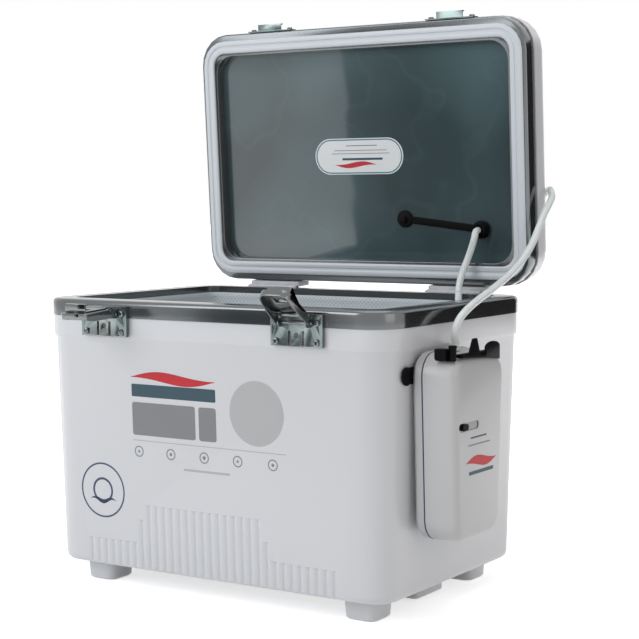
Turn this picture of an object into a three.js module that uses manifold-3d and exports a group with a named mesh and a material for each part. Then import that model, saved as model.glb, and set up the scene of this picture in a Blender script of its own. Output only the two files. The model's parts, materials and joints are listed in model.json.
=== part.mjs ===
// Live bait well: an insulated box with a hinged lid, an aerator pump on one side and a lift-out net.
// Millimetres, Z up, X along the front, front towards -Y, floor at z 0.
import * as THREE from 'three';
import { mergeVertices } from 'three/addons/utils/BufferGeometryUtils.js';
import Module from 'manifold-3d';

const wasm = await Module();
wasm.setup();

// Overall sizes
const length = 480;
const width = 335;
const height = 337.7;
const halfLong = length / 2;
const halfWide = width / 2;
const cornerRadius = 42;
const cornerSteps = 5;
const smallCornerSteps = 3;
const gap = 0.3;

// Body, measured from the rim's top, the shell's bottom and the ends
const rimSize = { slab: 8, side: 19.3, round: 5, skirt: 3.5, opening: 28, least: 8 };
const rim = { ...rimSize, top: height, slabBottom: height - rimSize.slab, skirtBottom: height - rimSize.side };
const shellSize = {
  bottom: 24, thick: 4, filletX: 11.7, filletY: 13.6, fillet: 9, drawnIn: 4.2, band: 22.1, stepHigh: 2.4,
  stepLow: 2.8, stepMidInset: 2, collar: 1.2, neck: 3.8,
};
const linerSize = { flange: 2.8, thick: 2.5, ledge: 33, ledgeDrop: 15.2, floorAbove: 28, taper: 13, fillet: 12 };
const liner = {
  ...linerSize, flangeTop: rim.slabBottom - gap, flangeBottom: rim.slabBottom - gap - linerSize.flange,
  ledgeHeight: height - linerSize.ledgeDrop, bottom: shellSize.bottom + linerSize.floorAbove,
};
const stepTop = rim.skirtBottom - gap - shellSize.band;
const shell = {
  ...shellSize, collarTop: rim.skirtBottom - gap, stepTop, stepMid: stepTop - shellSize.stepHigh,
  draftTop: stepTop - shellSize.stepHigh - shellSize.stepLow, neckTop: liner.flangeBottom - gap,
};
const padSize = { fromEnd: 43, long: 32, halfWidth: 32, bottom: 4, corner: 6 };
const sidePad = { ...padSize, x0: halfLong - padSize.fromEnd - padSize.long, x1: halfLong - padSize.fromEnd };
const footSize = { fromEnd: 39, fromSide: 36.5, long: 39, wide: 41, draft: 1.5, corner: 9, bevel: 2 };
const foot = {
  ...footSize, x0: halfLong - footSize.fromEnd - footSize.long, x1: halfLong - footSize.fromEnd,
  y0: halfWide - footSize.fromSide - footSize.wide, y1: halfWide - footSize.fromSide, top: shell.bottom - gap,
};
const ribSize = {
  pitch: 10.9, depth: 2.4, lowLeft: 56, lowRight: 68, highLeft: 145, highRight: 165, lowTall: 33, highTall: 79,
  flare: 7, flareTall: 39, outside: 12, under: 6, arcSteps: 2,
};
const ribs = {
  ...ribSize, lowX0: ribSize.lowLeft - halfLong, lowX1: halfLong - ribSize.lowRight,
  highX0: ribSize.highLeft - halfLong, highX1: halfLong - ribSize.highRight, lowTop: shell.bottom + ribSize.lowTall,
  highTop: shell.bottom + ribSize.highTall, flareTop: shell.bottom + ribSize.flareTall,
  bottom: shell.bottom - ribSize.under,
};

// Lid, with heights from the gasket plane
const lidSize = {
  gasketX: 6.6, gasketY: 14.1, gasketWide: 16.2, gasketThick: 2.7, gasketTighter: 9, grooveFrom: 6, grooveTo: 10.2,
  grooveDeep: 1.2, frameX: 2, frameY: 5.5, frameTighter: 2, frameBottom: 3, frameTop: 24, frameThick: 3,
  recessX: 26, recessY: 33.5, recessTighter: 18, recessWall: 2.5, panelBottom: 16, panelThick: 2.5, panelLap: 2.5,
  shellX: 1, shellY: 4.5, shellTighter: 1, shellGap: 0.6, shellTop: 58, shellThick: 3, shellRound: 12,
  shellDraft: 1.5, plateauInset: 46, plateauRise: 2, foamInset: 5,
};
const lid = {
  ...lidSize, gasketPlane: height + gap, gasketRadius: cornerRadius - lidSize.gasketTighter,
  frameRadius: cornerRadius - lidSize.frameTighter, recessRadius: cornerRadius - lidSize.recessTighter,
  shellRadius: cornerRadius - lidSize.shellTighter, recessTop: lidSize.panelBottom - gap,
  shellBottom: lidSize.frameTop + lidSize.shellGap, foamBottom: lidSize.panelBottom + lidSize.panelThick + gap,
};
const openAngle = -86.36;
const panelFace = lid.panelBottom - gap;
const label = { x: -5.5, y: 1.4, long: 131, wide: 46, thick: 0.4, steps: 8 };
const portSize = {
  fromEnd: 72, fromBack: 74.1, outer: 11, bore: 5.2, tall: 11, collar: 6, flange: 1.6, passage: 6.2, proud: 1.4,
  sides: 20,
};
const port = {
  ...portSize, x: halfLong - portSize.fromEnd, y: halfWide - portSize.fromBack, top: panelFace,
  bottom: panelFace - portSize.tall, lip: lid.shellTop + lid.plateauRise + portSize.proud,
};
const plugSize = {
  strapX: 108, strapY: 12.4, radius: 11, thick: 3, strapWide: 9, strapThick: 1.6, knob: 4.4, knobLong: 5,
};
const plug = { ...plugSize, x: port.x - plugSize.strapX, y: port.y - plugSize.strapY, top: panelFace };

// Hinges
const hingeSize = {
  out: 3.1, below: 1.1, fromEnd: 105, length: 75, barrel: 3.6, bore: 1.9, pin: 1.6, knuckles: 5, sides: 14,
  plate: 2.5, plateDeep: 31.7, leaf: 6.7, leafUp: 4.1, leafTall: 25.3, web: 3.4, pinHead: 2.6, pinHeadLong: 1.2,
};
const hingeZ = height - hingeSize.below;
const plateFront = halfWide + gap;
const leafFront = halfWide - lid.shellY + gap;
const hinge = {
  ...hingeSize, y: halfWide + hingeSize.out, z: hingeZ, x: halfLong - hingeSize.fromEnd, plateFront,
  plateBack: plateFront + hingeSize.plate, plateBottom: height - hingeSize.plateDeep, leafFront,
  leafBack: leafFront + hingeSize.leaf, leafBottom: hingeZ + hingeSize.leafUp,
  leafTop: hingeZ + hingeSize.leafUp + hingeSize.leafTall, webFront: leafFront + hingeSize.leaf - hingeSize.web,
};

// Latches and keepers
const latchSize = {
  fromEnd: 107.5, shift: -2.5, plateWide: 66, plateTall: 35, below: 40.7, out: 4.5, sheet: 1.5, screwX: 26,
  screwUp: 5, hole: 1.9, tab: 14, slot: 3.2, slotTall: 16, slotUp: 9, tabHole: 3, tabHoleUp: 12, pivotOut: 4.5,
  pivotUp: 26, ear: 5, earX: 17, earThick: 1.5, pinRadius: 1.6, pinBore: 1.9, pinLong: 46.6, faceSides: 12,
};
const latchBottom = height - latchSize.below;
const latchFace = -halfWide - latchSize.out;
const latch = {
  ...latchSize, x: halfLong - latchSize.fromEnd, bottom: latchBottom, face: latchFace, back: -halfWide - gap,
  screwLow: latchBottom + latchSize.screwUp, screwHigh: latchBottom + latchSize.pivotUp,
  slotMiddle: latchBottom + latchSize.slotUp, tabHoleZ: latchBottom + latchSize.tabHoleUp,
  pivotY: latchFace - latchSize.pivotOut, pivotZ: latchBottom + latchSize.pivotUp,
};
const lever = {
  root: 23, tip: 18, tipRound: 9, sheet: 1.4, webOut: 6, freeEdge: -3.9, eye: 4.1, pinEar: 3.6, long: 52,
  webStart: 12.6, taperFrom: 35, tipEdge: -1, slotWide: 16, slotLong: 8, slotAt: 30, openRight: -128, openLeft: -87,
};
const hook = {
  out: 5.4, along: 7.9, half: 15, knuckle: 3.2, near: 0.9, far: 2.4, long: 36, claw: 10.4, clawBack: 4.6, hole: 6,
  holeAt: 20, pinRadius: 1.5, pinBore: 1.8, pinHalf: 20.4, proud: 1.4,
};
const keeperSize = {
  fromEnd: 108, shift: 4, wide: 66, up: 3.4, tall: 14, sheet: 1.5, lipHalf: 18, lipUp: 1.6, lipTall: 5, reach: 8,
  screwX: 28, screwUp: 7,
};
const keeperBack = lid.frameY - halfWide - gap;
const keeperBottom = lid.gasketPlane + keeperSize.up;
const keeper = {
  ...keeperSize, x: halfLong - keeperSize.fromEnd, back: keeperBack, face: keeperBack - keeperSize.sheet,
  lipOut: keeperBack - keeperSize.sheet - keeperSize.reach, plateBottom: keeperBottom,
  plateTop: keeperBottom + keeperSize.tall, lipBottom: keeperBottom + keeperSize.lipUp,
  lipTop: keeperBottom + keeperSize.lipUp + keeperSize.lipTall, screwZ: keeperBottom + keeperSize.screwUp,
};
const screw = { sides: 10 };

// Pump, hung on the end wall under the rim
const hangerSize = {
  fromEnd: 3.8, sheet: 2.1, drop: 33, tall: 18, y0: -124, y1: -16, bossUp: 9, boss: 10, bossIn: 7, farIn: 10,
  steps: 14,
};
const pumpSize = {
  drop: 27.4, tall: 201, backDeep: 12.4, deep: 51.4, wall: 2, bottomY0: -109, bottomY1: -9.5, topY0: -117.5,
  topY1: 0, corner: 24, cornerSteps: 5, frontRound: 8, frontDrop: 5, sealHalf: 0.5, sealProud: 0.4, backRound: 4,
};
const hangerBack = halfLong - hangerSize.fromEnd;
const hangerFront = hangerBack + hangerSize.sheet;
const pumpBack = hangerFront + gap;
const pumpZ = rim.skirtBottom - pumpSize.drop;
const pump = {
  ...pumpSize, back: pumpBack, seam: pumpBack + pumpSize.backDeep, front: pumpBack + pumpSize.deep, topZ: pumpZ,
  bottomZ: pumpZ - pumpSize.tall,
};
const hangerBottom = pumpZ - hangerSize.drop;
const hanger = {
  ...hangerSize, back: hangerBack, front: hangerFront, bottom: hangerBottom, top: hangerBottom + hangerSize.tall,
  bossZ: hangerBottom + hangerSize.bossUp, plateY: hangerSize.y0 + hangerSize.bossIn,
  farY: hangerSize.y1 - hangerSize.farIn,
};
const switchSize = {
  y: -84, drop: 77.5, long: 45, wide: 9, steps: 6, sunk: 2.5, plate: 1.4, knobLong: 13, knobWide: 6.4, knob: 3.2,
  travel: 22,
};
const switchFace = pump.front - switchSize.sunk + switchSize.plate;
const pumpSwitch = {
  ...switchSize, z: pump.topZ - switchSize.drop, plateIn: pump.front - switchSize.sunk, plateOut: switchFace,
  knobIn: switchFace + gap, knobOut: switchFace + gap + switchSize.knob,
};
const pumpTopSize = {
  catchBack: 26.9, catchDeep: 13.1, catchY: -110, catchHalf: 6, catchUp: 5.8, catchUnder: 7, catchRound: 4,
  plugBack: 44.4, plugY: -108, plugRadius: 4.5, plugUp: 9.6, plugUnder: 7, plugRim: 0.5, plugCap: 3,
  nozzleMiddle: 23.4, nozzleY: -62, nozzleBase: 5.4, nozzleBaseTall: 3, nozzleRadius: 3.6, nozzleUp: 4,
  barbRadius: 4.5, standOff: 0.3, sides: 14,
};
const pumpTop = {
  ...pumpTopSize, catchX: pump.back + pumpTopSize.catchBack, plugX: pump.back + pumpTopSize.plugBack,
  nozzleX: pump.back + pumpTopSize.nozzleMiddle, nozzleTop: pump.topZ + pumpTopSize.nozzleUp,
};

// Spring clip over the case's top front edge: y places, and heights from the case's top
const clipSize = {
  frontY: -102, backY: -17, kneeY: -50, low: -4, kneeLow: -7.5, backLow: -11.5, thick: 1.9, wrap: 6.3, clear: 0.3,
  bandHigh: -1, peakFoot: [-89, -62], peak: [-79, -70], peakHigh: 15, peakLow: -3, kneeHigh: -4.5, tabLow: 3,
  tabHigh: 9, wrapHigh: -0.2,
};
const clip = { ...clipSize, face: pump.front + clipSize.clear, out: pump.front + clipSize.clear + clipSize.thick };
const insideSize = {
  middle: 25.9, cellRadius: 16.4, cellLong: 60, cellUp: 14, cellY: [-79, -45], capRadius: 4.5, capTall: 1.5,
  contactThick: 0.8, contactHalf: 12, motorRadius: 12, motorLong: 36, motorUp: 88, motorY: -36, blockHalf: 15,
  blockTall: 26, shaft: 2, sides: 16,
};
const inside = {
  ...insideSize, cellX: pump.back + insideSize.middle, cellBottom: pump.bottomZ + insideSize.cellUp,
  motorBottom: pump.bottomZ + insideSize.motorUp,
};

// Hoses, stone and net
const hose = { outer: 4.2, bore: 3, sides: 8, step: 15 };
const stone = { radius: 8, long: 42, x: 84, y: 40, z: 73.3, sides: 14, neck: 3.2, neckLong: 7 };
const netSize = { clear: 0.6, ringWide: 5, ringTall: 5.8, bagWall: 1, bagUp: 12, bagTaper: 16, bagFillet: 14 };
const ringOut = rim.opening + netSize.clear;
const ringTop = liner.ledgeHeight + gap + netSize.ringTall;
const net = {
  ...netSize, ringOut, ringIn: ringOut + netSize.ringWide, ringBottom: liner.ledgeHeight + gap, ringTop,
  bagOut: ringOut + netSize.ringWide + gap, bagTop: ringTop, bagBottom: liner.bottom + netSize.bagUp,
};

// Puts the origin under the middle of the whole outline
const centring = { x: (halfLong - pumpSwitch.knobOut) / 2, y: -0.0115 };

const palette = {
  white: 0xd2d2d5, shade: 0x2c3236, pale: 0xd9dbe0, steel: 0xb9bdc2, black: 0x151618, blue: 0x26345c,
  foam: 0xe8e2c8, clear: 0xe6eef2, slate: 0x39464c, brass: 0xb08d4a, stone: 0x9fb3c4, cell: 0x3f5f8a,
  rubber: 0x1c1c1e,
};

const group = new THREE.Group();
group.name = 'live_bait_well';
const lidGroup = new THREE.Group();

function add(parent, name, geometry, colour) {
  const material = new THREE.MeshStandardMaterial({ color: colour, roughness: 0.5 });
  material.name = name;
  const mesh = new THREE.Mesh(geometry, material);
  mesh.name = name;
  parent.add(mesh);
  return mesh;
}

// Outlines and skins
function roundedOutline(corners, radii, steps) {
  const points = [];
  const count = corners.length;
  for (let i = 0; i < count; i += 1) {
    const here = new THREE.Vector2(...corners[i]);
    const before = new THREE.Vector2(...corners[(i + count - 1) % count]).sub(here).normalize();
    const after = new THREE.Vector2(...corners[(i + 1) % count]).sub(here).normalize();
    const half = Math.acos(THREE.MathUtils.clamp(before.dot(after), -1, 1)) / 2;
    const radius = radii[i];
    const middle = before.clone().add(after).normalize().multiplyScalar(radius / Math.sin(half)).add(here);
    const sweep = Math.PI - half * 2;
    const start = here.clone().addScaledVector(before, radius / Math.tan(half)).sub(middle);
    for (let k = 0; k <= steps; k += 1) {
      const turned = start.clone().rotateAround(new THREE.Vector2(), (sweep * k) / steps);
      points.push([middle.x + turned.x, middle.y + turned.y]);
    }
  }
  return points;
}

function box2(x0, x1, y0, y1) {
  return [[x0, y0], [x1, y0], [x1, y1], [x0, y1]];
}

function plan(insetX, insetY, radius, steps) {
  const x = length / 2 - insetX;
  const y = width / 2 - insetY;
  return roundedOutline(box2(-x, x, -y, y), [radius, radius, radius, radius], steps);
}

function bodyRing(insetX, insetY, z) {
  const radius = Math.max(cornerRadius - (insetX + insetY) / 2, rim.least);
  return plan(insetX, insetY, radius, cornerSteps).map(([x, y]) => [x, y, z]);
}

function skin(rings, closed) {
  const count = rings[0].length;
  const positions = [];
  const index = [];
  rings.forEach((ring) => ring.forEach((p) => positions.push(...p)));
  const last = closed ? rings.length : rings.length - 1;
  for (let i = 0; i < last; i += 1) {
    const a = i * count;
    const b = ((i + 1) % rings.length) * count;
    for (let j = 0; j < count; j += 1) {
      const k = (j + 1) % count;
      index.push(a + j, a + k, b + k, a + j, b + k, b + j);
    }
  }
  if (!closed) {
    cap(rings[0], 0, positions, index, true);
    cap(rings[rings.length - 1], (rings.length - 1) * count, positions, index, false);
  }
  const geometry = new THREE.BufferGeometry();
  geometry.setAttribute('position', new THREE.Float32BufferAttribute(positions, 3));
  geometry.setIndex(index);
  return finish(geometry);
}

function cap(ring, offset, positions, index, reversed) {
  const centre = positions.length / 3;
  const sum = ring.reduce((s, p) => [s[0] + p[0], s[1] + p[1], s[2] + p[2]], [0, 0, 0]);
  positions.push(...sum.map((v) => v / ring.length));
  for (let j = 0; j < ring.length; j += 1) {
    const k = (j + 1) % ring.length;
    const pair = reversed ? [offset + k, offset + j] : [offset + j, offset + k];
    index.push(centre, ...pair);
  }
}

function finish(geometry) {
  const flat = geometry.index ? geometry.toNonIndexed() : geometry;
  flat.deleteAttribute('normal');
  flat.deleteAttribute('uv');
  flat.computeVertexNormals();
  return flat;
}

// Joins and cuts
function toManifold(geometry) {
  const bare = geometry.clone();
  bare.deleteAttribute('normal');
  bare.deleteAttribute('uv');
  const merged = mergeVertices(bare, 1e-5);
  const mesh = new wasm.Mesh({
    numProp: 3,
    vertProperties: new Float32Array(merged.attributes.position.array),
    triVerts: new Uint32Array(merged.index.array),
  });
  return new wasm.Manifold(mesh);
}

function fromManifold(solid) {
  const mesh = solid.getMesh();
  const geometry = new THREE.BufferGeometry();
  geometry.setAttribute('position', new THREE.Float32BufferAttribute(Array.from(mesh.vertProperties), 3));
  geometry.setIndex(Array.from(mesh.triVerts));
  return finish(geometry);
}

function join(...pieces) {
  return fromManifold(pieces.map(toManifold).reduce((a, b) => a.add(b)));
}

function carve(base, cutters) {
  return fromManifold(cutters.map(toManifold).reduce((a, b) => a.subtract(b), toManifold(base)));
}

// Plain solids
function block(x0, x1, y0, y1, z0, z1) {
  const geometry = new THREE.BoxGeometry(x1 - x0, y1 - y0, z1 - z0);
  geometry.translate((x0 + x1) / 2, (y0 + y1) / 2, (z0 + z1) / 2);
  return geometry;
}

function prism(outline, z0, z1) {
  return skin([outline.map(([x, y]) => [x, y, z0]), outline.map(([x, y]) => [x, y, z1])], false);
}

function circle(x, y, radius, steps) {
  const points = [];
  for (let i = 0; i < steps; i += 1) {
    const angle = (i / steps) * Math.PI * 2;
    points.push([x + radius * Math.cos(angle), y + radius * Math.sin(angle)]);
  }
  return points;
}

// Turned solid from [radius, height] pairs, standing on the given point along Z
function turned(profile, x, y, steps) {
  return skin(profile.map(([r, z]) => circle(x, y, r, steps).map(([px, py]) => [px, py, z])), false);
}

function tube(outer, bore, z0, z1, x, y, steps) {
  const ring = (r, z) => circle(x, y, r, steps).map(([px, py]) => [px, py, z]);
  return skin([ring(outer, z0), ring(outer, z1), ring(bore, z1), ring(bore, z0)], true);
}

// Local (a, b, c) laid so that a runs along Y, b along Z and c along X
function alongX(geometry) {
  const swap = new THREE.Matrix4().set(0, 0, 1, 0, 1, 0, 0, 0, 0, 1, 0, 0, 0, 0, 0, 1);
  return finish(geometry.clone().applyMatrix4(swap));
}

// Local (a, b, c) laid so that a runs along Z, b along X and c along Y
function alongY(geometry) {
  const swap = new THREE.Matrix4().set(0, 1, 0, 0, 0, 0, 1, 0, 1, 0, 0, 0, 0, 0, 0, 1);
  return finish(geometry.clone().applyMatrix4(swap));
}

function rodX(x0, x1, y, z, radius, steps) {
  return alongX(prism(circle(y, z, radius, steps), x0, x1));
}

function rodY(y0, y1, x, z, radius, steps) {
  return alongY(prism(circle(z, x, radius, steps), y0, y1));
}

function turn(geometry, degrees, y, z) {
  const moved = geometry.clone();
  moved.translate(0, -y, -z);
  moved.rotateX(THREE.MathUtils.degToRad(degrees));
  moved.translate(0, y, z);
  return finish(moved);
}

// Body
function shellWallInset(z, bottomInset) {
  const share = (z - shell.bottom - shell.fillet) / (shell.draftTop - shell.bottom - shell.fillet);
  return bottomInset + (shell.drawnIn - bottomInset) * share;
}

function filletRings(insetX, insetY, z, radius, steps, inward) {
  const rings = [];
  for (let i = 0; i <= steps; i += 1) {
    const angle = (i / steps) * (Math.PI / 2);
    const reach = radius * (1 - Math.sin(angle));
    rings.push([insetX + reach, insetY + reach, z - radius * Math.cos(angle)]);
  }
  return inward ? rings.reverse() : rings;
}

function outerShell() {
  const filletTop = shell.bottom + shell.fillet;
  const outside = [
    ...filletRings(shell.filletX, shell.filletY, filletTop, shell.fillet, smallCornerSteps, false),
    [shell.drawnIn, shell.drawnIn, shell.draftTop],
    [shell.stepMidInset, shell.stepMidInset, shell.stepMid],
    [shell.collar, shell.collar, shell.stepTop],
    [shell.collar, shell.collar, shell.collarTop],
    [shell.neck, shell.neck, shell.collarTop],
    [shell.neck, shell.neck, shell.neckTop],
  ];
  const t = shell.thick;
  const inner = [
    [shell.neck + t, shell.neck + t, shell.neckTop],
    [shell.neck + t, shell.neck + t, shell.draftTop],
    ...filletRings(shell.filletX + t, shell.filletY + t, filletTop + t, shell.fillet, smallCornerSteps, true),
  ];
  const body = skin([...outside, ...inner].map((r) => bodyRing(...r)), false);
  return carve(body, ribCutters());
}

function basePad(side) {
  const x0 = Math.min(side * sidePad.x0, side * sidePad.x1);
  const x1 = Math.max(side * sidePad.x0, side * sidePad.x1);
  const outline = roundedOutline(
    box2(x0, x1, -sidePad.halfWidth, sidePad.halfWidth), Array(4).fill(sidePad.corner), smallCornerSteps,
  );
  return prism(outline, sidePad.bottom, foot.top);
}

// Height at which the valley beside x ends
function ribTop(x) {
  const over = Math.max(ribs.highX0 - x, x - ribs.highX1, 0);
  if (over === 0) return ribs.highTop;
  if (over < ribs.flare) return ribs.flareTop + (ribs.highTop - ribs.flareTop) * (1 - over / ribs.flare) ** 2;
  const side = x < 0 ? x - ribs.lowX0 : ribs.lowX1 - x;
  return ribs.lowTop + (ribs.flareTop - ribs.lowTop) * THREE.MathUtils.clamp(side / -ribs.lowX0, 0, 1) ** 2;
}

// One valley: the space between the round faces of two neighbouring ribs
function valley(x, side) {
  const half = ribs.pitch / 2;
  const radius = (half ** 2 + ribs.depth ** 2) / (ribs.depth * 2);
  const arc = [];
  for (let i = 0; i <= ribs.arcSteps; i += 1) {
    const dx = half * (i / ribs.arcSteps);
    arc.push([dx, radius - Math.sqrt(radius ** 2 - dx ** 2)]);
  }
  const left = arc.map(([dx, d]) => [x - half + dx, d]);
  const right = arc.slice(0, -1).reverse().map(([dx, d]) => [x + half - dx, d]);
  const line = [...left, ...right];
  const low = ribs.bottom;
  const high = ribTop(x);
  const wall = (z) => width / 2 - shellWallInset(z, shell.filletY);
  const outer = [[x + half, -ribs.outside], [x - half, -ribs.outside]];
  const place = ([px, depth], z, rise) => {
    const py = wall(z) - depth;
    return side > 0 ? [px, py, z - rise * depth] : [x * 2 - px, -py, z - rise * depth];
  };
  const ring = (z, rise) => [...line, ...outer].map((p) => place(p, z, rise));
  return skin([ring(low, 0), ring(high, 1)], false);
}

function ribCutters() {
  const cutters = [];
  const count = Math.floor((ribs.lowX1 - ribs.lowX0) / ribs.pitch);
  for (const side of [-1, 1]) {
    for (let i = 0; i < count; i += 1) {
      cutters.push(valley(ribs.lowX0 + ribs.pitch * (i + 1), side));
    }
  }
  return cutters;
}

function innerLiner() {
  const t = liner.thick;
  const inner = [
    [rim.opening, rim.opening, liner.flangeTop],
    [rim.opening, rim.opening, liner.ledgeHeight],
    [liner.ledge, liner.ledge, liner.ledgeHeight],
  ];
  const low = liner.ledge + liner.taper;
  const floor = filletRings(low, low, liner.bottom + liner.fillet, liner.fillet, smallCornerSteps, true);
  const curveTop = liner.bottom + liner.fillet - t;
  const under = filletRings(low - t, low - t, curveTop, liner.fillet, smallCornerSteps, false);
  const outside = [
    ...under,
    [liner.ledge - t, liner.ledge - t, liner.ledgeHeight - t],
    [rim.opening - t, rim.opening - t, liner.ledgeHeight - t],
    [rim.opening - t, rim.opening - t, liner.flangeBottom],
    [shell.neck, shell.neck, liner.flangeBottom],
    [shell.neck, shell.neck, liner.flangeTop],
  ];
  return skin([...outside, ...inner, ...floor].map((r) => bodyRing(...r)), false);
}

function foamCore() {
  const t = shell.thick + gap;
  const filletTop = shell.bottom + shell.fillet;
  const u = liner.thick + gap;
  const low = liner.ledge + liner.taper - u;
  const outside = [
    ...filletRings(shell.filletX + t, shell.filletY + t, filletTop + t, shell.fillet, smallCornerSteps, false),
    [shell.neck + t, shell.neck + t, shell.draftTop],
    [shell.neck + t, shell.neck + t, shell.neckTop],
  ];
  const inner = [
    [rim.opening - u, rim.opening - u, shell.neckTop],
    [rim.opening - u, rim.opening - u, liner.ledgeHeight - u],
    [liner.ledge - u, liner.ledge - u, liner.ledgeHeight - u],
    ...filletRings(low, low, liner.bottom + liner.fillet - u, liner.fillet, smallCornerSteps, true),
  ];
  return skin([...outside, ...inner].map((r) => bodyRing(...r)), false);
}

function rimFrame() {
  const rings = [[0, 0, rim.skirtBottom], [0, 0, rim.top - rim.round]];
  for (let i = 1; i <= smallCornerSteps; i += 1) {
    const angle = (i / smallCornerSteps) * (Math.PI / 2);
    const inset = rim.round * (1 - Math.cos(angle));
    rings.push([inset, inset, rim.top - rim.round * (1 - Math.sin(angle))]);
  }
  rings.push([rim.opening, rim.opening, rim.top], [rim.opening, rim.opening, rim.slabBottom]);
  rings.push([rim.skirt, rim.skirt, rim.slabBottom], [rim.skirt, rim.skirt, rim.skirtBottom]);
  return skin(rings.map((r) => bodyRing(...r)), true);
}

function footPiece(sideX, sideY) {
  const ring = (inset, z) => {
    const a = sideX * (foot.x0 + inset);
    const b = sideX * (foot.x1 - inset);
    const c = sideY * (foot.y0 + inset);
    const d = sideY * (foot.y1 - inset);
    const corners = box2(Math.min(a, b), Math.max(a, b), Math.min(c, d), Math.max(c, d));
    return roundedOutline(corners, Array(4).fill(foot.corner), smallCornerSteps).map(([x, y]) => [x, y, z]);
  };
  return skin([ring(foot.bevel, 0), ring(0, foot.bevel), ring(-foot.draft, foot.top)], false);
}

// Hinges
function hingeSpan(index, x) {
  const one = hinge.length / hinge.knuckles;
  const x0 = x - hinge.length / 2 + one * index;
  return [x0 + gap / 2, x0 + one - gap / 2];
}

function hingeHalf(x, remainder, plate, webs) {
  const pieces = [plate];
  for (let i = remainder; i < hinge.knuckles; i += 2) {
    const [x0, x1] = hingeSpan(i, x);
    pieces.push(rodX(x0, x1, hinge.y, hinge.z, hinge.barrel, hinge.sides));
    pieces.push(webs(x0, x1));
  }
  const bore = rodX(x - hinge.length, x + hinge.length, hinge.y, hinge.z, hinge.bore, hinge.sides);
  return [join(...pieces), bore];
}

function hingeBase(x) {
  const plate = block(
    x - hinge.length / 2, x + hinge.length / 2, hinge.plateFront, hinge.plateBack, hinge.plateBottom,
    hinge.z - hinge.barrel - gap,
  );
  const web = (x0, x1) => block(x0, x1, hinge.plateFront, hinge.plateBack, hinge.plateBottom, hinge.z);
  const [solid, bore] = hingeHalf(x, 0, plate, web);
  return carve(solid, [bore]);
}

function hingeLeaf(x) {
  const plate = block(
    x - hinge.length / 2, x + hinge.length / 2, hinge.leafFront, hinge.leafBack, hinge.leafBottom, hinge.leafTop,
  );
  const web = (x0, x1) => block(x0, x1, hinge.webFront, hinge.leafBack, hinge.z, hinge.leafTop);
  const [solid, bore] = hingeHalf(x, 1, plate, web);
  return carve(solid, [bore]);
}

function hingePin(x) {
  const x0 = x - hinge.length / 2 - gap;
  const x1 = x + hinge.length / 2 + gap;
  const shaft = rodX(x0 - hinge.pinHeadLong, x1 + hinge.pinHeadLong, hinge.y, hinge.z, hinge.pin, hinge.sides);
  const heads = [[x0 - hinge.pinHeadLong, x0], [x1, x1 + hinge.pinHeadLong]].map(
    ([a, b]) => rodX(a, b, hinge.y, hinge.z, hinge.pinHead, hinge.sides),
  );
  return join(shaft, ...heads);
}

// Lid, drawn closed: heights are from the gasket plane
function lidRing(insetX, insetY, radius, height) {
  return plan(insetX, insetY, radius, cornerSteps).map(([x, y]) => [x, y, lid.gasketPlane + height]);
}

function lidFrame() {
  const ring = (extra, z) => lidRing(lid.frameX + extra, lid.frameY + extra, lid.frameRadius - extra, z);
  const recess = (extra, z) => lidRing(lid.recessX - extra, lid.recessY - extra, lid.recessRadius + extra, z);
  const bevel = lid.frameThick / 2;
  return skin([
    ring(bevel, lid.frameBottom), ring(0, lid.frameBottom + bevel), ring(0, lid.frameTop),
    ring(lid.frameThick, lid.frameTop), ring(lid.frameThick, lid.frameBottom + lid.frameThick),
    recess(lid.recessWall, lid.frameBottom + lid.frameThick), recess(lid.recessWall, lid.recessTop),
    recess(0, lid.recessTop), recess(0, lid.frameBottom),
  ], true);
}

function lidPanel() {
  const ring = (extra, z) => lidRing(
    lid.recessX - lid.panelLap + extra, lid.recessY - lid.panelLap + extra, lid.recessRadius, z,
  );
  const plate = skin([ring(0, lid.panelBottom), ring(0, lid.panelBottom + lid.panelThick)], false);
  const hole = prism(circle(port.x, port.y, port.passage + gap, port.sides), ...panelSpan());
  return carve(plate, [hole]);
}

function panelSpan() {
  return [lid.gasketPlane + lid.panelBottom - gap, lid.gasketPlane + lid.shellTop + lid.plateauRise + gap];
}

function lidFoam() {
  const inset = lid.shellThick + lid.foamInset;
  const ring = (extra, z) => lidRing(
    lid.shellX + inset + extra, lid.shellY + inset + extra, lid.frameRadius - inset - extra, z,
  );
  const top = lid.shellTop - lid.shellThick - gap;
  const solid = skin([
    ring(0, lid.foamBottom), ring(0, lid.shellTop - lid.shellRound - lid.foamInset), ring(lid.shellRound, top),
  ], false);
  return carve(solid, [prism(circle(port.x, port.y, port.passage + gap, port.sides), ...panelSpan())]);
}

function lidShell() {
  const t = lid.shellThick;
  const edge = lid.shellTop - lid.shellRound;
  const outer = (extra, z) => lidRing(lid.shellX + extra, lid.shellY + extra, lid.shellRadius - extra / 2, z);
  const rings = [
    outer(lid.shellRound + t, lid.shellTop - t), outer(t + lid.shellDraft, edge), outer(t, lid.shellBottom),
    outer(0, lid.shellBottom),
  ];
  for (let i = 0; i <= smallCornerSteps; i += 1) {
    const angle = (i / smallCornerSteps) * (Math.PI / 2);
    const extra = lid.shellDraft + lid.shellRound * (1 - Math.cos(angle));
    rings.push(outer(extra, edge + lid.shellRound * Math.sin(angle)));
  }
  rings.push(outer(lid.plateauInset, lid.shellTop));
  rings.push(outer(lid.plateauInset + lid.plateauRise * 2, lid.shellTop + lid.plateauRise));
  const hole = prism(circle(port.x, port.y, port.passage + gap, port.sides), ...panelSpan());
  return carve(skin(rings, false), [hole]);
}

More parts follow.
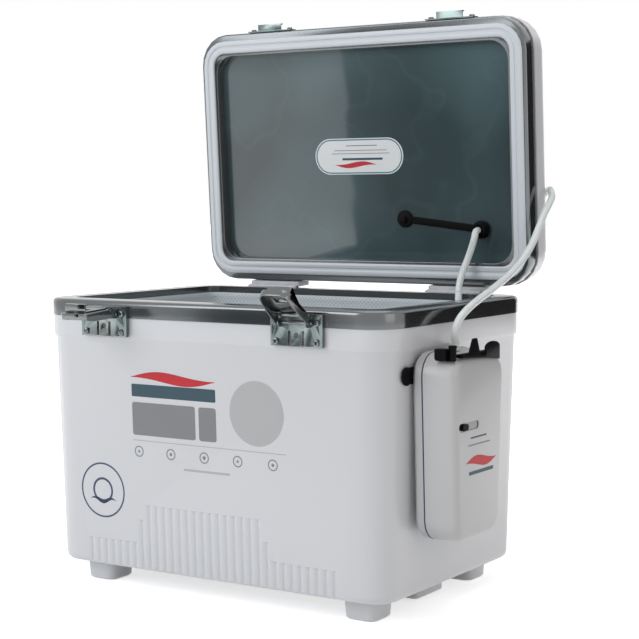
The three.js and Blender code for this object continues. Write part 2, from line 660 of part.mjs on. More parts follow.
function lidGasket() {
  const ring = (extra, z) => lidRing(
    lid.gasketX + extra, lid.gasketY + extra, Math.max(lid.gasketRadius - extra, rim.least), z,
  );
  const deep = lid.grooveDeep;
  return skin([
    ring(deep, 0), ring(0, deep), ring(0, lid.gasketThick), ring(lid.gasketWide, lid.gasketThick),
    ring(lid.gasketWide, deep), ring(lid.gasketWide - deep, 0), ring(lid.grooveTo, 0),
    ring(lid.grooveTo - deep / 2, deep), ring(lid.grooveFrom + deep / 2, deep), ring(lid.grooveFrom, 0),
  ], true);
}

function lidLabel() {
  const x0 = label.x - label.long / 2;
  const y0 = label.y - label.wide / 2;
  const outline = roundedOutline(
    box2(x0, x0 + label.long, y0, y0 + label.wide),
    Array(4).fill(label.wide / 2 - gap), label.steps,
  );
  const bottom = lid.gasketPlane + panelFace - label.thick;
  return prism(outline, bottom, bottom + label.thick);
}

// Port: a collar under the panel and a sleeve through the lid
function hosePort() {
  const z = (height) => lid.gasketPlane + height;
  const ring = (r, height) => circle(port.x, port.y, r, port.sides).map(([x, y]) => [x, y, z(height)]);
  const waist = port.outer - port.flange;
  return skin([
    ring(waist, port.bottom), ring(waist, port.top - port.collar), ring(port.outer, port.top - port.collar),
    ring(port.outer, port.top), ring(port.passage, port.top), ring(port.passage, port.lip),
    ring(port.bore, port.lip), ring(port.bore, port.bottom),
  ], true);
}

function portPlug() {
  const top = lid.gasketPlane + plug.top;
  const middle = top - plug.thick / 2;
  const disc = turned(
    [[plug.radius - plug.strapThick / 2, top - plug.thick], [plug.radius, middle], [plug.radius, top]],
    plug.x, plug.y, port.sides,
  );
  const knob = turned(
    [[plug.knob - gap, top - plug.thick - plug.knobLong], [plug.knob, middle]], plug.x, plug.y, port.sides,
  );
  const from = new THREE.Vector2(plug.x, plug.y);
  const to = new THREE.Vector2(port.x, port.y);
  const along = to.clone().sub(from).normalize();
  const side = new THREE.Vector2(-along.y, along.x).multiplyScalar(plug.strapWide / 2);
  const a = from.clone().addScaledVector(along, plug.knob);
  const b = to.clone().addScaledVector(along, -port.outer - gap * 2);
  const corners = [[a.x - side.x, a.y - side.y], [b.x - side.x, b.y - side.y], [b.x + side.x, b.y + side.y],
    [a.x + side.x, a.y + side.y]];
  return join(disc, knob, prism(corners, top - plug.strapThick, top));
}

// Keepers on the front of the lid frame
function keeperPiece(x) {
  const plate = block(
    x - keeper.wide / 2, x + keeper.wide / 2, keeper.face, keeper.back, keeper.plateBottom, keeper.plateTop,
  );
  const shelf = block(
    x - keeper.lipHalf, x + keeper.lipHalf, keeper.lipOut, keeper.face + gap, keeper.lipBottom,
    keeper.lipBottom + keeper.sheet,
  );
  const lip = block(
    x - keeper.lipHalf, x + keeper.lipHalf, keeper.lipOut, keeper.lipOut + keeper.sheet, keeper.lipBottom,
    keeper.lipTop,
  );
  const holes = [-1, 1].map((side) => rodY(
    keeper.face - gap, keeper.back + gap, x + side * keeper.screwX, keeper.screwZ, latch.hole, screw.sides,
  ));
  return carve(join(plate, shelf, lip), holes);
}

// Latch base: a shallow pressed pan with a punched tab and two ears
function latchBase(x) {
  const half = latch.plateWide / 2;
  const top = latch.bottom + latch.plateTall;
  const s = latch.sheet;
  const pan = carve(
    block(x - half, x + half, latch.face, latch.back, latch.bottom, top),
    [block(x - half + s, x + half - s, latch.face + s, latch.back + s, latch.bottom + s, top - s)],
  );
  const ears = [-1, 1].map((side) => {
    const x0 = Math.min(side * latch.earX, side * (latch.earX + latch.earThick));
    const outline = [];
    const steps = latch.faceSides / 2;
    for (let i = 0; i <= steps; i += 1) {
      const angle = Math.PI / 2 + (i / steps) * Math.PI;
      outline.push([latch.pivotY + latch.ear * Math.cos(angle), latch.pivotZ + latch.ear * Math.sin(angle)]);
    }
    outline.push([latch.face + s / 2, latch.pivotZ - latch.ear], [latch.face + s / 2, latch.pivotZ + latch.ear]);
    return alongX(prism(outline, x + x0, x + x0 + latch.earThick));
  });
  const through = [latch.face - s, latch.back + s];
  const holes = [];
  for (const side of [-1, 1]) {
    for (const z of [latch.screwLow, latch.screwHigh]) {
      holes.push(rodY(...through, x + side * latch.screwX, z, latch.hole, screw.sides));
    }
    const middle = x + side * (latch.tab + latch.slot) / 2;
    holes.push(block(
      middle - latch.slot / 2, middle + latch.slot / 2, ...through, latch.slotMiddle - latch.slotTall / 2,
      latch.slotMiddle + latch.slotTall / 2,
    ));
  }
  holes.push(rodY(...through, x, latch.tabHoleZ, latch.tabHole, latch.faceSides));
  holes.push(rodX(x - half, x + half, latch.pivotY, latch.pivotZ, latch.pinBore, latch.faceSides));
  return carve(join(pan, ...ears), holes);
}

// Lever and hook are drawn closed, then turned open: out is away from the wall, along is down the lever
function leverPlace(out, along) {
  return [latch.pivotY - out, latch.pivotZ - along];
}

// Side view of the lever: an eye about the pivot, an ear about the hook's pin, then the tapering flange
function leverSide() {
  const outline = [];
  const steps = latch.faceSides / 2;
  for (let i = 0; i <= steps; i += 1) {
    const angle = (i / steps) * Math.PI;
    outline.push(leverPlace(-lever.eye * Math.cos(angle), -lever.eye * Math.sin(angle)));
  }
  for (const angle of [-Math.PI / 3, 0, Math.PI / 3]) {
    outline.push(leverPlace(
      hook.out + lever.pinEar * Math.cos(angle), hook.along + lever.pinEar * Math.sin(angle),
    ));
  }
  outline.push(leverPlace(lever.webOut, lever.webStart), leverPlace(lever.webOut, lever.long));
  outline.push(leverPlace(lever.tipEdge, lever.long), leverPlace(lever.freeEdge, lever.taperFrom));
  outline.push(leverPlace(lever.freeEdge, lever.eye / 2));
  return outline;
}

// Front view of the lever, narrowing to a tip with round corners
function leverFront(x, inset, y0, y1) {
  const high = latch.pivotZ + lever.root;
  const low = latch.pivotZ - lever.long + inset;
  const wide = lever.root - inset;
  const narrow = lever.tip - inset;
  const round = lever.tipRound - inset;
  const corners = [[high, x - wide], [high, x + wide], [low, x + narrow], [low, x - narrow]];
  const outline = roundedOutline(corners, [lever.sheet, lever.sheet, round, round], cornerSteps);
  return alongY(prism(outline, y0, y1));
}

function leverPiece(x) {
  const [yOut] = leverPlace(lever.webOut, 0);
  const [yIn] = leverPlace(lever.webOut - lever.sheet, 0);
  const [, zStart] = leverPlace(0, lever.webStart);
  const [, slotTop] = leverPlace(0, lever.slotAt);
  const yWall = latch.pivotY + lever.root;
  const yAir = latch.pivotY - lever.root;
  const top = latch.pivotZ + latch.ear * 2;
  const side = alongX(prism(leverSide(), x - lever.root, x + lever.root));
  const around = carve(
    block(x - lever.root * 2, x + lever.root * 2, yAir, yWall, latch.pivotZ - lever.long - lever.root, top),
    [leverFront(x, 0, yAir - gap, yWall + gap)],
  );
  const wide = lever.root - lever.sheet * 2;
  const slotX = lever.slotWide / 2;
  const far = latch.plateWide;
  const [hy, hz] = leverPlace(hook.out, hook.along);
  return carve(side, [
    around,
    leverFront(x, lever.sheet, yIn, yWall),
    block(x - wide, x + wide, yAir, yIn + gap, zStart, top),
    block(x - slotX, x + slotX, yOut - gap, yIn + gap, slotTop - lever.slotLong, slotTop),
    rodX(x - far, x + far, latch.pivotY, latch.pivotZ, latch.pinBore, latch.faceSides),
    rodX(x - far, x + far, hy, hz, hook.pinBore, latch.faceSides),
  ]);
}

function hookPiece(x) {
  const [py, pz] = leverPlace(hook.out, hook.along);
  const y = (d) => py - d;
  const z = (w) => pz - w;
  const parts = [
    rodX(x - hook.half, x + hook.half, py, pz, hook.knuckle, latch.faceSides),
    block(x - hook.half, x + hook.half, y(hook.far), y(hook.near), z(hook.long), z(0)),
    block(x - hook.half, x + hook.half, y(hook.claw), y(hook.near), z(hook.long), z(hook.long - lever.sheet)),
    block(x - hook.half, x + hook.half, y(hook.claw), y(hook.claw - lever.sheet), z(hook.long),
      z(hook.long - hook.clawBack)),
  ];
  const cutters = [
    rodX(x - hook.half * 2, x + hook.half * 2, py, pz, hook.pinBore, latch.faceSides),
    rodY(y(hook.far + gap), y(hook.near - gap), x, z(hook.holeAt), hook.hole, latch.faceSides),
  ];
  return carve(join(...parts), cutters);
}

function buildLatch(side, name, angle) {
  const x = side * latch.x + latch.shift;
  const [hy, hz] = leverPlace(hook.out, hook.along);
  const half = latch.pinLong / 2;
  const swing = (geometry) => turn(geometry, angle, latch.pivotY, latch.pivotZ);
  add(group, `latch_base_${name}`, latchBase(x), palette.steel);
  add(group, `latch_lever_${name}`, swing(leverPiece(x)), palette.steel);
  add(group, `latch_lever_pin_${name}`,
    rodX(x - half, x + half, latch.pivotY, latch.pivotZ, latch.pinRadius, latch.faceSides), palette.steel);
  add(group, `latch_hook_${name}`, swing(hookPiece(x)), palette.steel);
  add(group, `latch_hook_pin_${name}`,
    swing(rodX(x - hook.pinHalf - hook.proud, x + hook.pinHalf + hook.proud, hy, hz, hook.pinRadius,
      latch.faceSides)), palette.steel);
}

// Pump case: outlines lie in the YZ plane and are stacked along X
function pumpOutline(inset, drop) {
  const slant = (pump.bottomY0 - pump.topY0) / (pump.topZ - pump.bottomZ);
  const low = pump.bottomZ + inset;
  const high = pump.topZ - inset - drop;
  const left = (z) => pump.bottomY0 + inset - (z - pump.bottomZ) * slant;
  const right = (z) => pump.bottomY1 - inset
    + (z - pump.bottomZ) * ((pump.topY1 - pump.bottomY1) / (pump.topZ - pump.bottomZ));
  const corners = [[left(low), low], [right(low), low], [right(high), high], [left(high), high]];
  const radius = Math.max(pump.corner - inset, pump.wall);
  return roundedOutline(corners, Array(4).fill(radius), pump.cornerSteps);
}

function pumpRing(inset, drop, x) {
  return pumpOutline(inset, drop).map(([y, z]) => [y, z, x]);
}

function pumpDrop(x) {
  return pump.frontDrop * THREE.MathUtils.clamp((x - pump.seam) / (pump.front - pump.seam), 0, 1) ** 2;
}

function pumpBackCase() {
  const edge = pump.seam - pump.sealHalf - gap;
  const rings = [
    pumpRing(pump.backRound, 0, pump.back), pumpRing(0, 0, pump.back + pump.backRound), pumpRing(0, 0, edge),
    pumpRing(pump.wall, 0, edge), pumpRing(pump.wall, 0, pump.back + pump.backRound),
    pumpRing(pump.backRound + pump.wall, 0, pump.back + pump.wall),
  ];
  return alongX(skin(rings, false));
}

// Rings of the front case's outside, from the seam round to the front face
function pumpFrontRings(from, grow) {
  const roundStart = pump.front - pump.frontRound;
  const rings = [pumpRing(-grow, 0, from)];
  for (let i = 0; i <= pump.cornerSteps - 1; i += 1) {
    const angle = (i / (pump.cornerSteps - 1)) * (Math.PI / 2);
    const x = roundStart + (pump.frontRound + grow) * Math.sin(angle);
    rings.push(pumpRing(pump.frontRound - (pump.frontRound + grow) * Math.cos(angle), pumpDrop(x), x));
  }
  return rings;
}

function pumpFrontCase() {
  const edge = pump.seam + pump.sealHalf + gap;
  const inner = pump.front - pump.wall;
  const roundStart = pump.front - pump.frontRound;
  const rings = [
    pumpRing(pump.frontRound + pump.wall, pumpDrop(inner), inner),
    pumpRing(pump.wall, pumpDrop(roundStart), roundStart),
    pumpRing(pump.wall, 0, edge),
    ...pumpFrontRings(edge, 0),
  ];
  const slot = switchOutline(0, inner - pump.wall, pump.front + pump.wall);
  const passage = turned(
    [[pumpTop.nozzleRadius + gap, pump.topZ - pump.corner / 2], [pumpTop.nozzleRadius + gap, pump.topZ + pump.wall]],
    pumpTop.nozzleX, pumpTop.nozzleY, pumpTop.sides,
  );
  return carve(alongX(skin(rings, false)), [slot, passage]);
}

// The case's outside grown by the gap, to cut what sits on it
function pumpBulk() {
  return alongX(skin(pumpFrontRings(pump.seam + gap, gap), false));
}

function pumpSeal() {
  const x0 = pump.seam - pump.sealHalf;
  const x1 = pump.seam + pump.sealHalf;
  return alongX(skin([
    pumpRing(-pump.sealProud, 0, x0), pumpRing(-pump.sealProud, 0, x1), pumpRing(pump.wall, 0, x1),
    pumpRing(pump.wall, 0, x0),
  ], true));
}

function switchOutline(shrink, x0, x1) {
  const half = pumpSwitch.long / 2 - shrink;
  const tall = pumpSwitch.wide / 2 - shrink;
  const outline = roundedOutline(
    box2(pumpSwitch.y - half, pumpSwitch.y + half, pumpSwitch.z - tall, pumpSwitch.z + tall),
    Array(4).fill(tall - gap / 2), pumpSwitch.steps,
  );
  return alongX(prism(outline, x0, x1));
}

function switchKnob() {
  const half = pumpSwitch.knobLong / 2;
  const tall = pumpSwitch.knobWide / 2;
  const y = pumpSwitch.y - pumpSwitch.travel / 2;
  const ring = (inset, x) => roundedOutline(
    box2(y - half + inset, y + half - inset, pumpSwitch.z - tall + inset, pumpSwitch.z + tall - inset),
    Array(4).fill(tall / 2), smallCornerSteps,
  ).map(([a, b]) => [a, b, x]);
  return alongX(skin([
    ring(0, pumpSwitch.knobIn), ring(0, pumpSwitch.knobOut - gap * 2), ring(gap * 2, pumpSwitch.knobOut),
  ], false));
}

function pumpTopHeight(x) {
  return pump.topZ - pumpDrop(x);
}

function pumpCatch() {
  const { catchY, catchHalf, catchUnder, catchUp, catchRound, catchX, catchDeep } = pumpTop;
  const outline = roundedOutline(
    box2(catchY - catchHalf, catchY + catchHalf, pump.topZ - catchUnder, pump.topZ + catchUp),
    [catchRound, catchRound, gap, gap], smallCornerSteps,
  );
  return carve(alongX(prism(outline, catchX, catchX + catchDeep)), [pumpBulk()]);
}

// Round plug over the power socket, with a lip under its cap
function pumpPlug() {
  const { plugX, plugY, plugRadius, plugRim, plugCap, plugUp, plugUnder, sides } = pumpTop;
  const top = pump.topZ + plugUp;
  const body = turned([
    [plugRadius - plugRim, pump.topZ - plugUnder], [plugRadius - plugRim, top - plugCap],
    [plugRadius, top - plugCap], [plugRadius, top - plugRim], [plugRadius - plugRim, top],
  ], plugX, plugY, sides);
  return carve(body, [pumpBulk()]);
}

function pumpClip() {
  const z = (height) => pump.topZ + height;
  const { frontY, backY, kneeY, low, kneeLow, backLow } = clip;
  const under = [[frontY, z(low)], [kneeY, z(kneeLow)], [backY, z(backLow)]];
  const band = [under[0], under[1], [kneeY, z(clip.kneeHigh)], [frontY, z(clip.bandHigh)]];
  const tab = [under[1], under[2]];
  for (let i = 0; i <= pumpTop.sides; i += 1) {
    const angle = (i / pumpTop.sides) * Math.PI;
    tab.push([
      (backY + kneeY) / 2 + ((backY - kneeY) / 2) * Math.cos(angle),
      z(clip.tabLow + (clip.tabHigh - clip.tabLow) * Math.sin(angle)),
    ]);
  }
  const [peakFront, peakBack] = clip.peak;
  const [footFront, footBack] = clip.peakFoot;
  const peak = [[footFront, z(clip.peakLow)], [footBack, z(clip.kneeHigh)], [peakBack, z(clip.peakHigh)],
    [peakFront, z(clip.peakHigh)]];
  const wrap = [...under, [backY, z(clip.wrapHigh)], [frontY, z(clip.wrapHigh)]];
  return carve(join(
    ...[band, tab, peak].map((outline) => alongX(prism(outline, clip.face, clip.out))),
    alongX(prism(wrap, clip.face - clip.wrap, clip.face + gap)),
  ), [pumpBulk()]);
}

function pumpNozzle() {
  const seat = pumpTopHeight(pumpTop.nozzleX) + pumpTop.standOff;
  const x = pumpTop.nozzleX;
  const y = pumpTop.nozzleY;
  const stem = pumpTop.nozzleRadius - gap;
  return turned([
    [stem, seat - pump.wall * 2], [stem, seat], [pumpTop.nozzleBase, seat],
    [pumpTop.nozzleBase, seat + pumpTop.nozzleBaseTall], [pumpTop.barbRadius, seat + pumpTop.nozzleBaseTall],
    [pumpTop.nozzleRadius, pumpTop.nozzleTop],
  ], x, y, pumpTop.sides);
}

// Inside the pump case
function cell(y) {
  const z = inside.cellBottom;
  const top = z + inside.cellLong;
  return turned([
    [inside.cellRadius, z], [inside.cellRadius, top - inside.capTall], [inside.capRadius, top - inside.capTall],
    [inside.capRadius, top],
  ], inside.cellX, y, inside.sides);
}

function contact(bottom) {
  const [a, b] = inside.cellY;
  const x0 = inside.cellX - inside.contactHalf / 2;
  const x1 = inside.cellX + inside.contactHalf / 2;
  return block(x0, x1, a, b, bottom, bottom + inside.contactThick);
}

function cellTray() {
  const [a, b] = inside.cellY;
  const x0 = inside.cellX - inside.contactHalf;
  const x1 = inside.cellX + inside.contactHalf;
  const top = inside.cellBottom - inside.contactThick - gap * 2;
  return block(x0, x1, a, b, pump.bottomZ + pump.wall + gap, top);
}

function motor() {
  const z = inside.motorBottom;
  const top = z + inside.motorLong;
  return turned([
    [inside.motorRadius, z], [inside.motorRadius, top], [inside.shaft, top], [inside.shaft, top + inside.shaft * 2],
  ], inside.cellX, inside.motorY, inside.sides);
}

function diaphragmBlock() {
  const z = inside.motorBottom + inside.motorLong + inside.shaft * 2 + gap;
  const h = inside.blockHalf;
  const x0 = pump.back + pump.wall + gap;
  return block(x0, inside.cellX + h, inside.motorY - h, inside.motorY + h, z, z + inside.blockTall);
}

function hangerPiece() {
  const { back, front, y0, y1, bottom, top, boss, bossZ, plateY, farY, steps } = hanger;
  return join(
    block(back, front, plateY, y1, bottom, top),
    rodX(back, front, y0, bossZ, boss, steps),
    rodX(back, front, farY, bossZ, boss, steps),
  );
}

// Hoses
function routeCurve(route) {
  return new THREE.CatmullRomCurve3(route.map((p) => new THREE.Vector3(...p)), false, 'centripetal');
}

// The stretch of a route between two shares of its length
function hosePiece(route, fromShare, toShare) {
  const whole = routeCurve(route);
  const part = new THREE.Curve();
  part.getPoint = (t) => whole.getPointAt(THREE.MathUtils.lerp(fromShare, toShare, t));
  const steps = Math.round((whole.getLength() * (toShare - fromShare)) / hose.step);
  const shape = new THREE.Shape(circle(0, 0, hose.outer, hose.sides).map((p) => new THREE.Vector2(...p)));
  const boreOutline = circle(0, 0, hose.bore, hose.sides).map((p) => new THREE.Vector2(...p)).reverse();
  shape.holes.push(new THREE.Path(boreOutline));
  const geometry = new THREE.ExtrudeGeometry(shape, { steps, extrudePath: part, bevelEnabled: false });
  return finish(geometry);
}

function shareAfter(route, share) {
  return share + gap / routeCurve(route).getLength();
}

// Waypoints in the photo's pose, from the pump to the port's top and from the port's underside to the stone
const outerRoute = [
  [262, -62, 295.5], [262, -62, 298.5], [262, -64.4, 306], [262, -63.5, 313], [262, -54.5, 323], [262, -38, 332],
  [262, -10, 342], [262, 26, 352.5], [261.5, 64, 365], [261, 95, 378], [260, 123, 394], [258.5, 144, 410],
  [257, 160.5, 425],
  [256, 175, 437.5], [254, 191, 447], [251.5, 202.5, 454.5], [248.3, 207.5, 459.5], [244.5, 213, 462.5],
  [240.5, 219.5, 463], [235, 225.5, 461.5], [228, 230, 457.5], [220, 235, 452.5], [210, 241, 447],
  [198, 246.5, 440.5], [186, 250, 432], [175, 248.5, 422.5], [169.3, 241.5, 417.6], [168, 229.2, 416.8],
];
const outerSplitShare = 0.53;
const innerRoute = [
  [168, 170.7, 413.8], [168.3, 164.5, 412], [168.2, 161.5, 405], [165.5, 161.5, 396], [160, 160.5, 380],
  [156.5, 153, 363], [158.5, 140.5, 347], [163, 130.5, 336.5], [165, 126, 325], [165, 124, 305], [162, 119, 280],
  [153, 110, 240], [140, 98, 190], [127, 86, 140], [119, 78, 108], [113, 72, 86], [108.6, 67.2, 75.2],
  [103.6, 61.8, 73.4],
];
const innerSplitShare = 0.215;

function airStone() {
  const body = new THREE.Vector3(stone.x, stone.y, stone.z);
  const s = turned([
    [stone.radius - gap * 3, 0], [stone.radius, gap * 3], [stone.radius, stone.long - gap * 3],
    [stone.radius - gap * 3, stone.long], [stone.neck, stone.long], [stone.neck, stone.long + stone.neckLong],
  ], 0, 0, stone.sides);
  const last = new THREE.Vector3(...innerRoute[innerRoute.length - 1]);
  const flat = last.clone().sub(body);
  const angle = Math.atan2(flat.y, flat.x);
  s.rotateY(Math.PI / 2);
  s.translate(-stone.long / 2, 0, 0);
  s.rotateZ(angle);
  s.translate(body.x, body.y, body.z);
  return finish(s);
}

// Net
function netRing() {
  const rings = [[net.ringOut, net.ringBottom], [net.ringOut, net.ringTop], [net.ringIn, net.ringTop],
    [net.ringIn, net.ringBottom]];
  return skin(rings.map(([inset, z]) => bodyRing(inset, inset, z)), true);
}

function netBag() {
  const low = net.bagOut + net.bagTaper;
  const w = net.bagWall;
  const floor = net.bagBottom + net.bagFillet;
  const rings = [
    ...filletRings(low, low, floor, net.bagFillet, smallCornerSteps, false),
    [net.bagOut, net.bagOut, net.bagTop],
    [net.bagOut + w, net.bagOut + w, net.bagTop],
    ...filletRings(low + w, low + w, floor + w, net.bagFillet, smallCornerSteps, true),
  ];
  return skin(rings.map((r) => bodyRing(...r)), false);
}

function build() {
  add(group, 'outer_shell', outerShell(), palette.white);
  add(group, 'inner_liner', innerLiner(), palette.white);
  add(group, 'foam_core', foamCore(), palette.foam);
  add(group, 'rim_frame', rimFrame(), palette.shade);
  const corners = [['front_left', -1, -1], ['front_right', 1, -1], ['back_left', -1, 1], ['back_right', 1, 1]];
  corners.forEach(([name, sx, sy]) => add(group, `foot_${name}`, footPiece(sx, sy), palette.white));
  add(group, 'base_pad_left', basePad(-1), palette.white);
  add(group, 'base_pad_right', basePad(1), palette.white);
  buildLatch(1, 'right', lever.openRight);
  buildLatch(-1, 'left', lever.openLeft);

  for (const [name, side] of [['right', 1], ['left', -1]]) {
    const x = side * hinge.x;
    add(group, `hinge_base_${name}`, hingeBase(x), palette.pale);
    add(group, `hinge_pin_${name}`, hingePin(x), palette.steel);
    add(lidGroup, `hinge_leaf_${name}`, hingeLeaf(x), palette.pale);
    add(lidGroup, `keeper_${name}`, keeperPiece(side * keeper.x + keeper.shift), palette.steel);
  }
  add(lidGroup, 'lid_frame', lidFrame(), palette.shade);
  add(lidGroup, 'lid_shell', lidShell(), palette.white);
  add(lidGroup, 'lid_panel', lidPanel(), palette.slate);
  add(lidGroup, 'lid_foam', lidFoam(), palette.foam);
  add(lidGroup, 'lid_gasket', lidGasket(), palette.pale);
  add(lidGroup, 'lid_label', lidLabel(), palette.white);
  add(lidGroup, 'hose_port', hosePort(), palette.black);
  add(lidGroup, 'port_plug', portPlug(), palette.rubber);

  add(group, 'pump_hanger', hangerPiece(), palette.black);
  add(group, 'pump_back_case', pumpBackCase(), palette.white);
  add(group, 'pump_front_case', pumpFrontCase(), palette.white);
  add(group, 'pump_seal', pumpSeal(), palette.blue);
  add(group, 'pump_switch_plate', switchOutline(gap, pumpSwitch.plateIn, pumpSwitch.plateOut), palette.shade);
  add(group, 'pump_switch', switchKnob(), palette.black);
  add(group, 'pump_catch', pumpCatch(), palette.black);
  add(group, 'pump_plug', pumpPlug(), palette.black);
  add(group, 'pump_clip', pumpClip(), palette.black);
  add(group, 'pump_nozzle', pumpNozzle(), palette.pale);
  add(group, 'pump_motor', motor(), palette.steel);
  add(group, 'pump_diaphragm', diaphragmBlock(), palette.black);
  add(group, 'pump_cell_tray', cellTray(), palette.black);
  add(group, 'pump_contact_low', contact(inside.cellBottom - gap - inside.contactThick), palette.brass);
  add(group, 'pump_contact_high', contact(inside.cellBottom + inside.cellLong + gap), palette.brass);
  inside.cellY.forEach((y, i) => add(group, `pump_cell_${i + 1}`, cell(y), palette.cell));

  add(group, 'air_hose_outer', hosePiece(outerRoute, 0, outerSplitShare), palette.clear);
  add(group, 'air_hose_lid', hosePiece(outerRoute, shareAfter(outerRoute, outerSplitShare), 1), palette.clear);
  add(group, 'air_hose_upper', hosePiece(innerRoute, 0, innerSplitShare), palette.clear);
  add(group, 'air_hose_lower', hosePiece(innerRoute, shareAfter(innerRoute, innerSplitShare), 1), palette.clear);
  add(group, 'air_stone', airStone(), palette.stone);
  add(group, 'net_ring', netRing(), palette.white);
  add(group, 'net_bag', netBag(), palette.white);

  for (const mesh of [...lidGroup.children]) {
    mesh.geometry = turn(mesh.geometry, openAngle, hinge.y, hinge.z);
    group.add(mesh);
  }
  for (const mesh of group.children) mesh.geometry.translate(centring.x, centring.y, 0);
}

build();
export default group;
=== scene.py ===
import json
import math

import bpy
from mathutils import Matrix, Vector

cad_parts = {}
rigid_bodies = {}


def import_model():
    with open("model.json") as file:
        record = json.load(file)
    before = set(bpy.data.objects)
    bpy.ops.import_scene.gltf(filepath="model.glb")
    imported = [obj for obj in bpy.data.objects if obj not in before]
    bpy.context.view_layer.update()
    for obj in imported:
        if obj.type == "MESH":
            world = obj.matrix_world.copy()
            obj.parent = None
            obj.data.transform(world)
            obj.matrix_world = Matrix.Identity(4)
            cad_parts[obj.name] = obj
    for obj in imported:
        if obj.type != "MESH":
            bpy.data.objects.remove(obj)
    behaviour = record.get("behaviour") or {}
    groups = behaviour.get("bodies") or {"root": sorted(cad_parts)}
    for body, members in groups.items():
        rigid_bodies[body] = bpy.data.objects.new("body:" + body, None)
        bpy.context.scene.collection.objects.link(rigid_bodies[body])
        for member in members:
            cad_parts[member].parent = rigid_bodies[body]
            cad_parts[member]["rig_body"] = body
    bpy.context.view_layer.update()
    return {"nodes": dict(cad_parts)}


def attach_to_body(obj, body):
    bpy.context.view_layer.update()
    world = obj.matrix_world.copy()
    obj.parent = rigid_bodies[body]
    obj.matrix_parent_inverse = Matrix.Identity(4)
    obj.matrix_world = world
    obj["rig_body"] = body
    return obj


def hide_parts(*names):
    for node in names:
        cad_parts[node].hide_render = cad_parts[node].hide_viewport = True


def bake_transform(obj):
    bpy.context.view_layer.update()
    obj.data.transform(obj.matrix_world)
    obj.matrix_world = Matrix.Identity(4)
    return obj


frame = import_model()
scene = bpy.context.scene

# Lengths are body millimetres: x along the front, y backwards, z from the floor
perMetre = 1000
centring = Vector((-26.2, -0.0115, 0.0))
lidSettings = {"axis": (0.0, 170.6, 336.6), "open": -86.36, "gasketPlane": 338.0}


# A body point in the row frame, in metres
def spot(x, y, z):
    return (Vector((x, y, z)) + centring) / perMetre


def lidTurn():
    axis = spot(*lidSettings["axis"])
    turn = Matrix.Rotation(math.radians(lidSettings["open"]), 4, "X")
    return Matrix.Translation(axis) @ turn @ Matrix.Translation(-axis)


# A point of the closed lid, height counted from the gasket plane, carried to where the open lid holds it
def lidSpot(x, y, height):
    return lidTurn() @ spot(x, y, lidSettings["gasketPlane"] + height)


# Camera
cameraSettings = {
    "location": (1073.55, -1584.68, 455.6),
    "forward": (-0.54162, 0.83717, -0.07606),
    "roll": -0.221,
    "lens": 90.81,
    "sensor": 36.0,
    "clip": (0.05, 60.0),
}
camData = bpy.data.cameras.new("viewCamera")
cam = bpy.data.objects.new("viewCamera", camData)
scene.collection.objects.link(cam)
camData.lens = cameraSettings["lens"]
camData.sensor_width = cameraSettings["sensor"]
camData.clip_start, camData.clip_end = cameraSettings["clip"]
cam.rotation_mode = "QUATERNION"
lookAlong = Vector(cameraSettings["forward"]).normalized()
roll = Matrix.Rotation(math.radians(cameraSettings["roll"]), 3, "Z")
cam.rotation_quaternion = lookAlong.to_track_quat("-Z", "Y") @ roll.to_quaternion()
cam.location = spot(*cameraSettings["location"])
scene.camera = cam
scene.view_settings.view_transform = "Standard"
print("camera")


# Helpers for pieces modelled by hand
def only(obj):
    if bpy.context.object and bpy.context.object.mode != "OBJECT":
        bpy.ops.object.mode_set(mode="OBJECT")
    bpy.ops.object.select_all(action="DESELECT")
    obj.select_set(True)
    bpy.context.view_layer.objects.active = obj


def applyAll(obj):
    only(obj)
    for modifier in list(obj.modifiers):
        bpy.ops.object.modifier_apply(modifier=modifier.name)


def smoothUnder(angle):
    bpy.ops.object.shade_smooth_by_angle(angle=math.radians(angle))


# Adds a primitive with nothing else selected
def addPiece(operator, **values):
    bpy.ops.object.select_all(action="DESELECT")
    operator(**values)
    return bpy.context.object


# Selects only the faces that look up, and stays in edit mode
def selectTop(obj):
    bpy.ops.object.mode_set(mode="EDIT")
    bpy.ops.mesh.select_mode(type="FACE")
    bpy.ops.mesh.select_all(action="DESELECT")
    bpy.ops.object.mode_set(mode="OBJECT")
    for polygon in obj.data.polygons:
        polygon.select = polygon.normal.z > 0.5
    bpy.ops.object.mode_set(mode="EDIT")


# Cuts one closed piece out of another
def cutOut(obj, cutter):
    cut = obj.modifiers.new("cut", "BOOLEAN")
    cut.operation = "DIFFERENCE"
    cut.solver = "EXACT"
    cut.object = cutter
    applyAll(obj)
    bpy.data.objects.remove(cutter)
    only(obj)


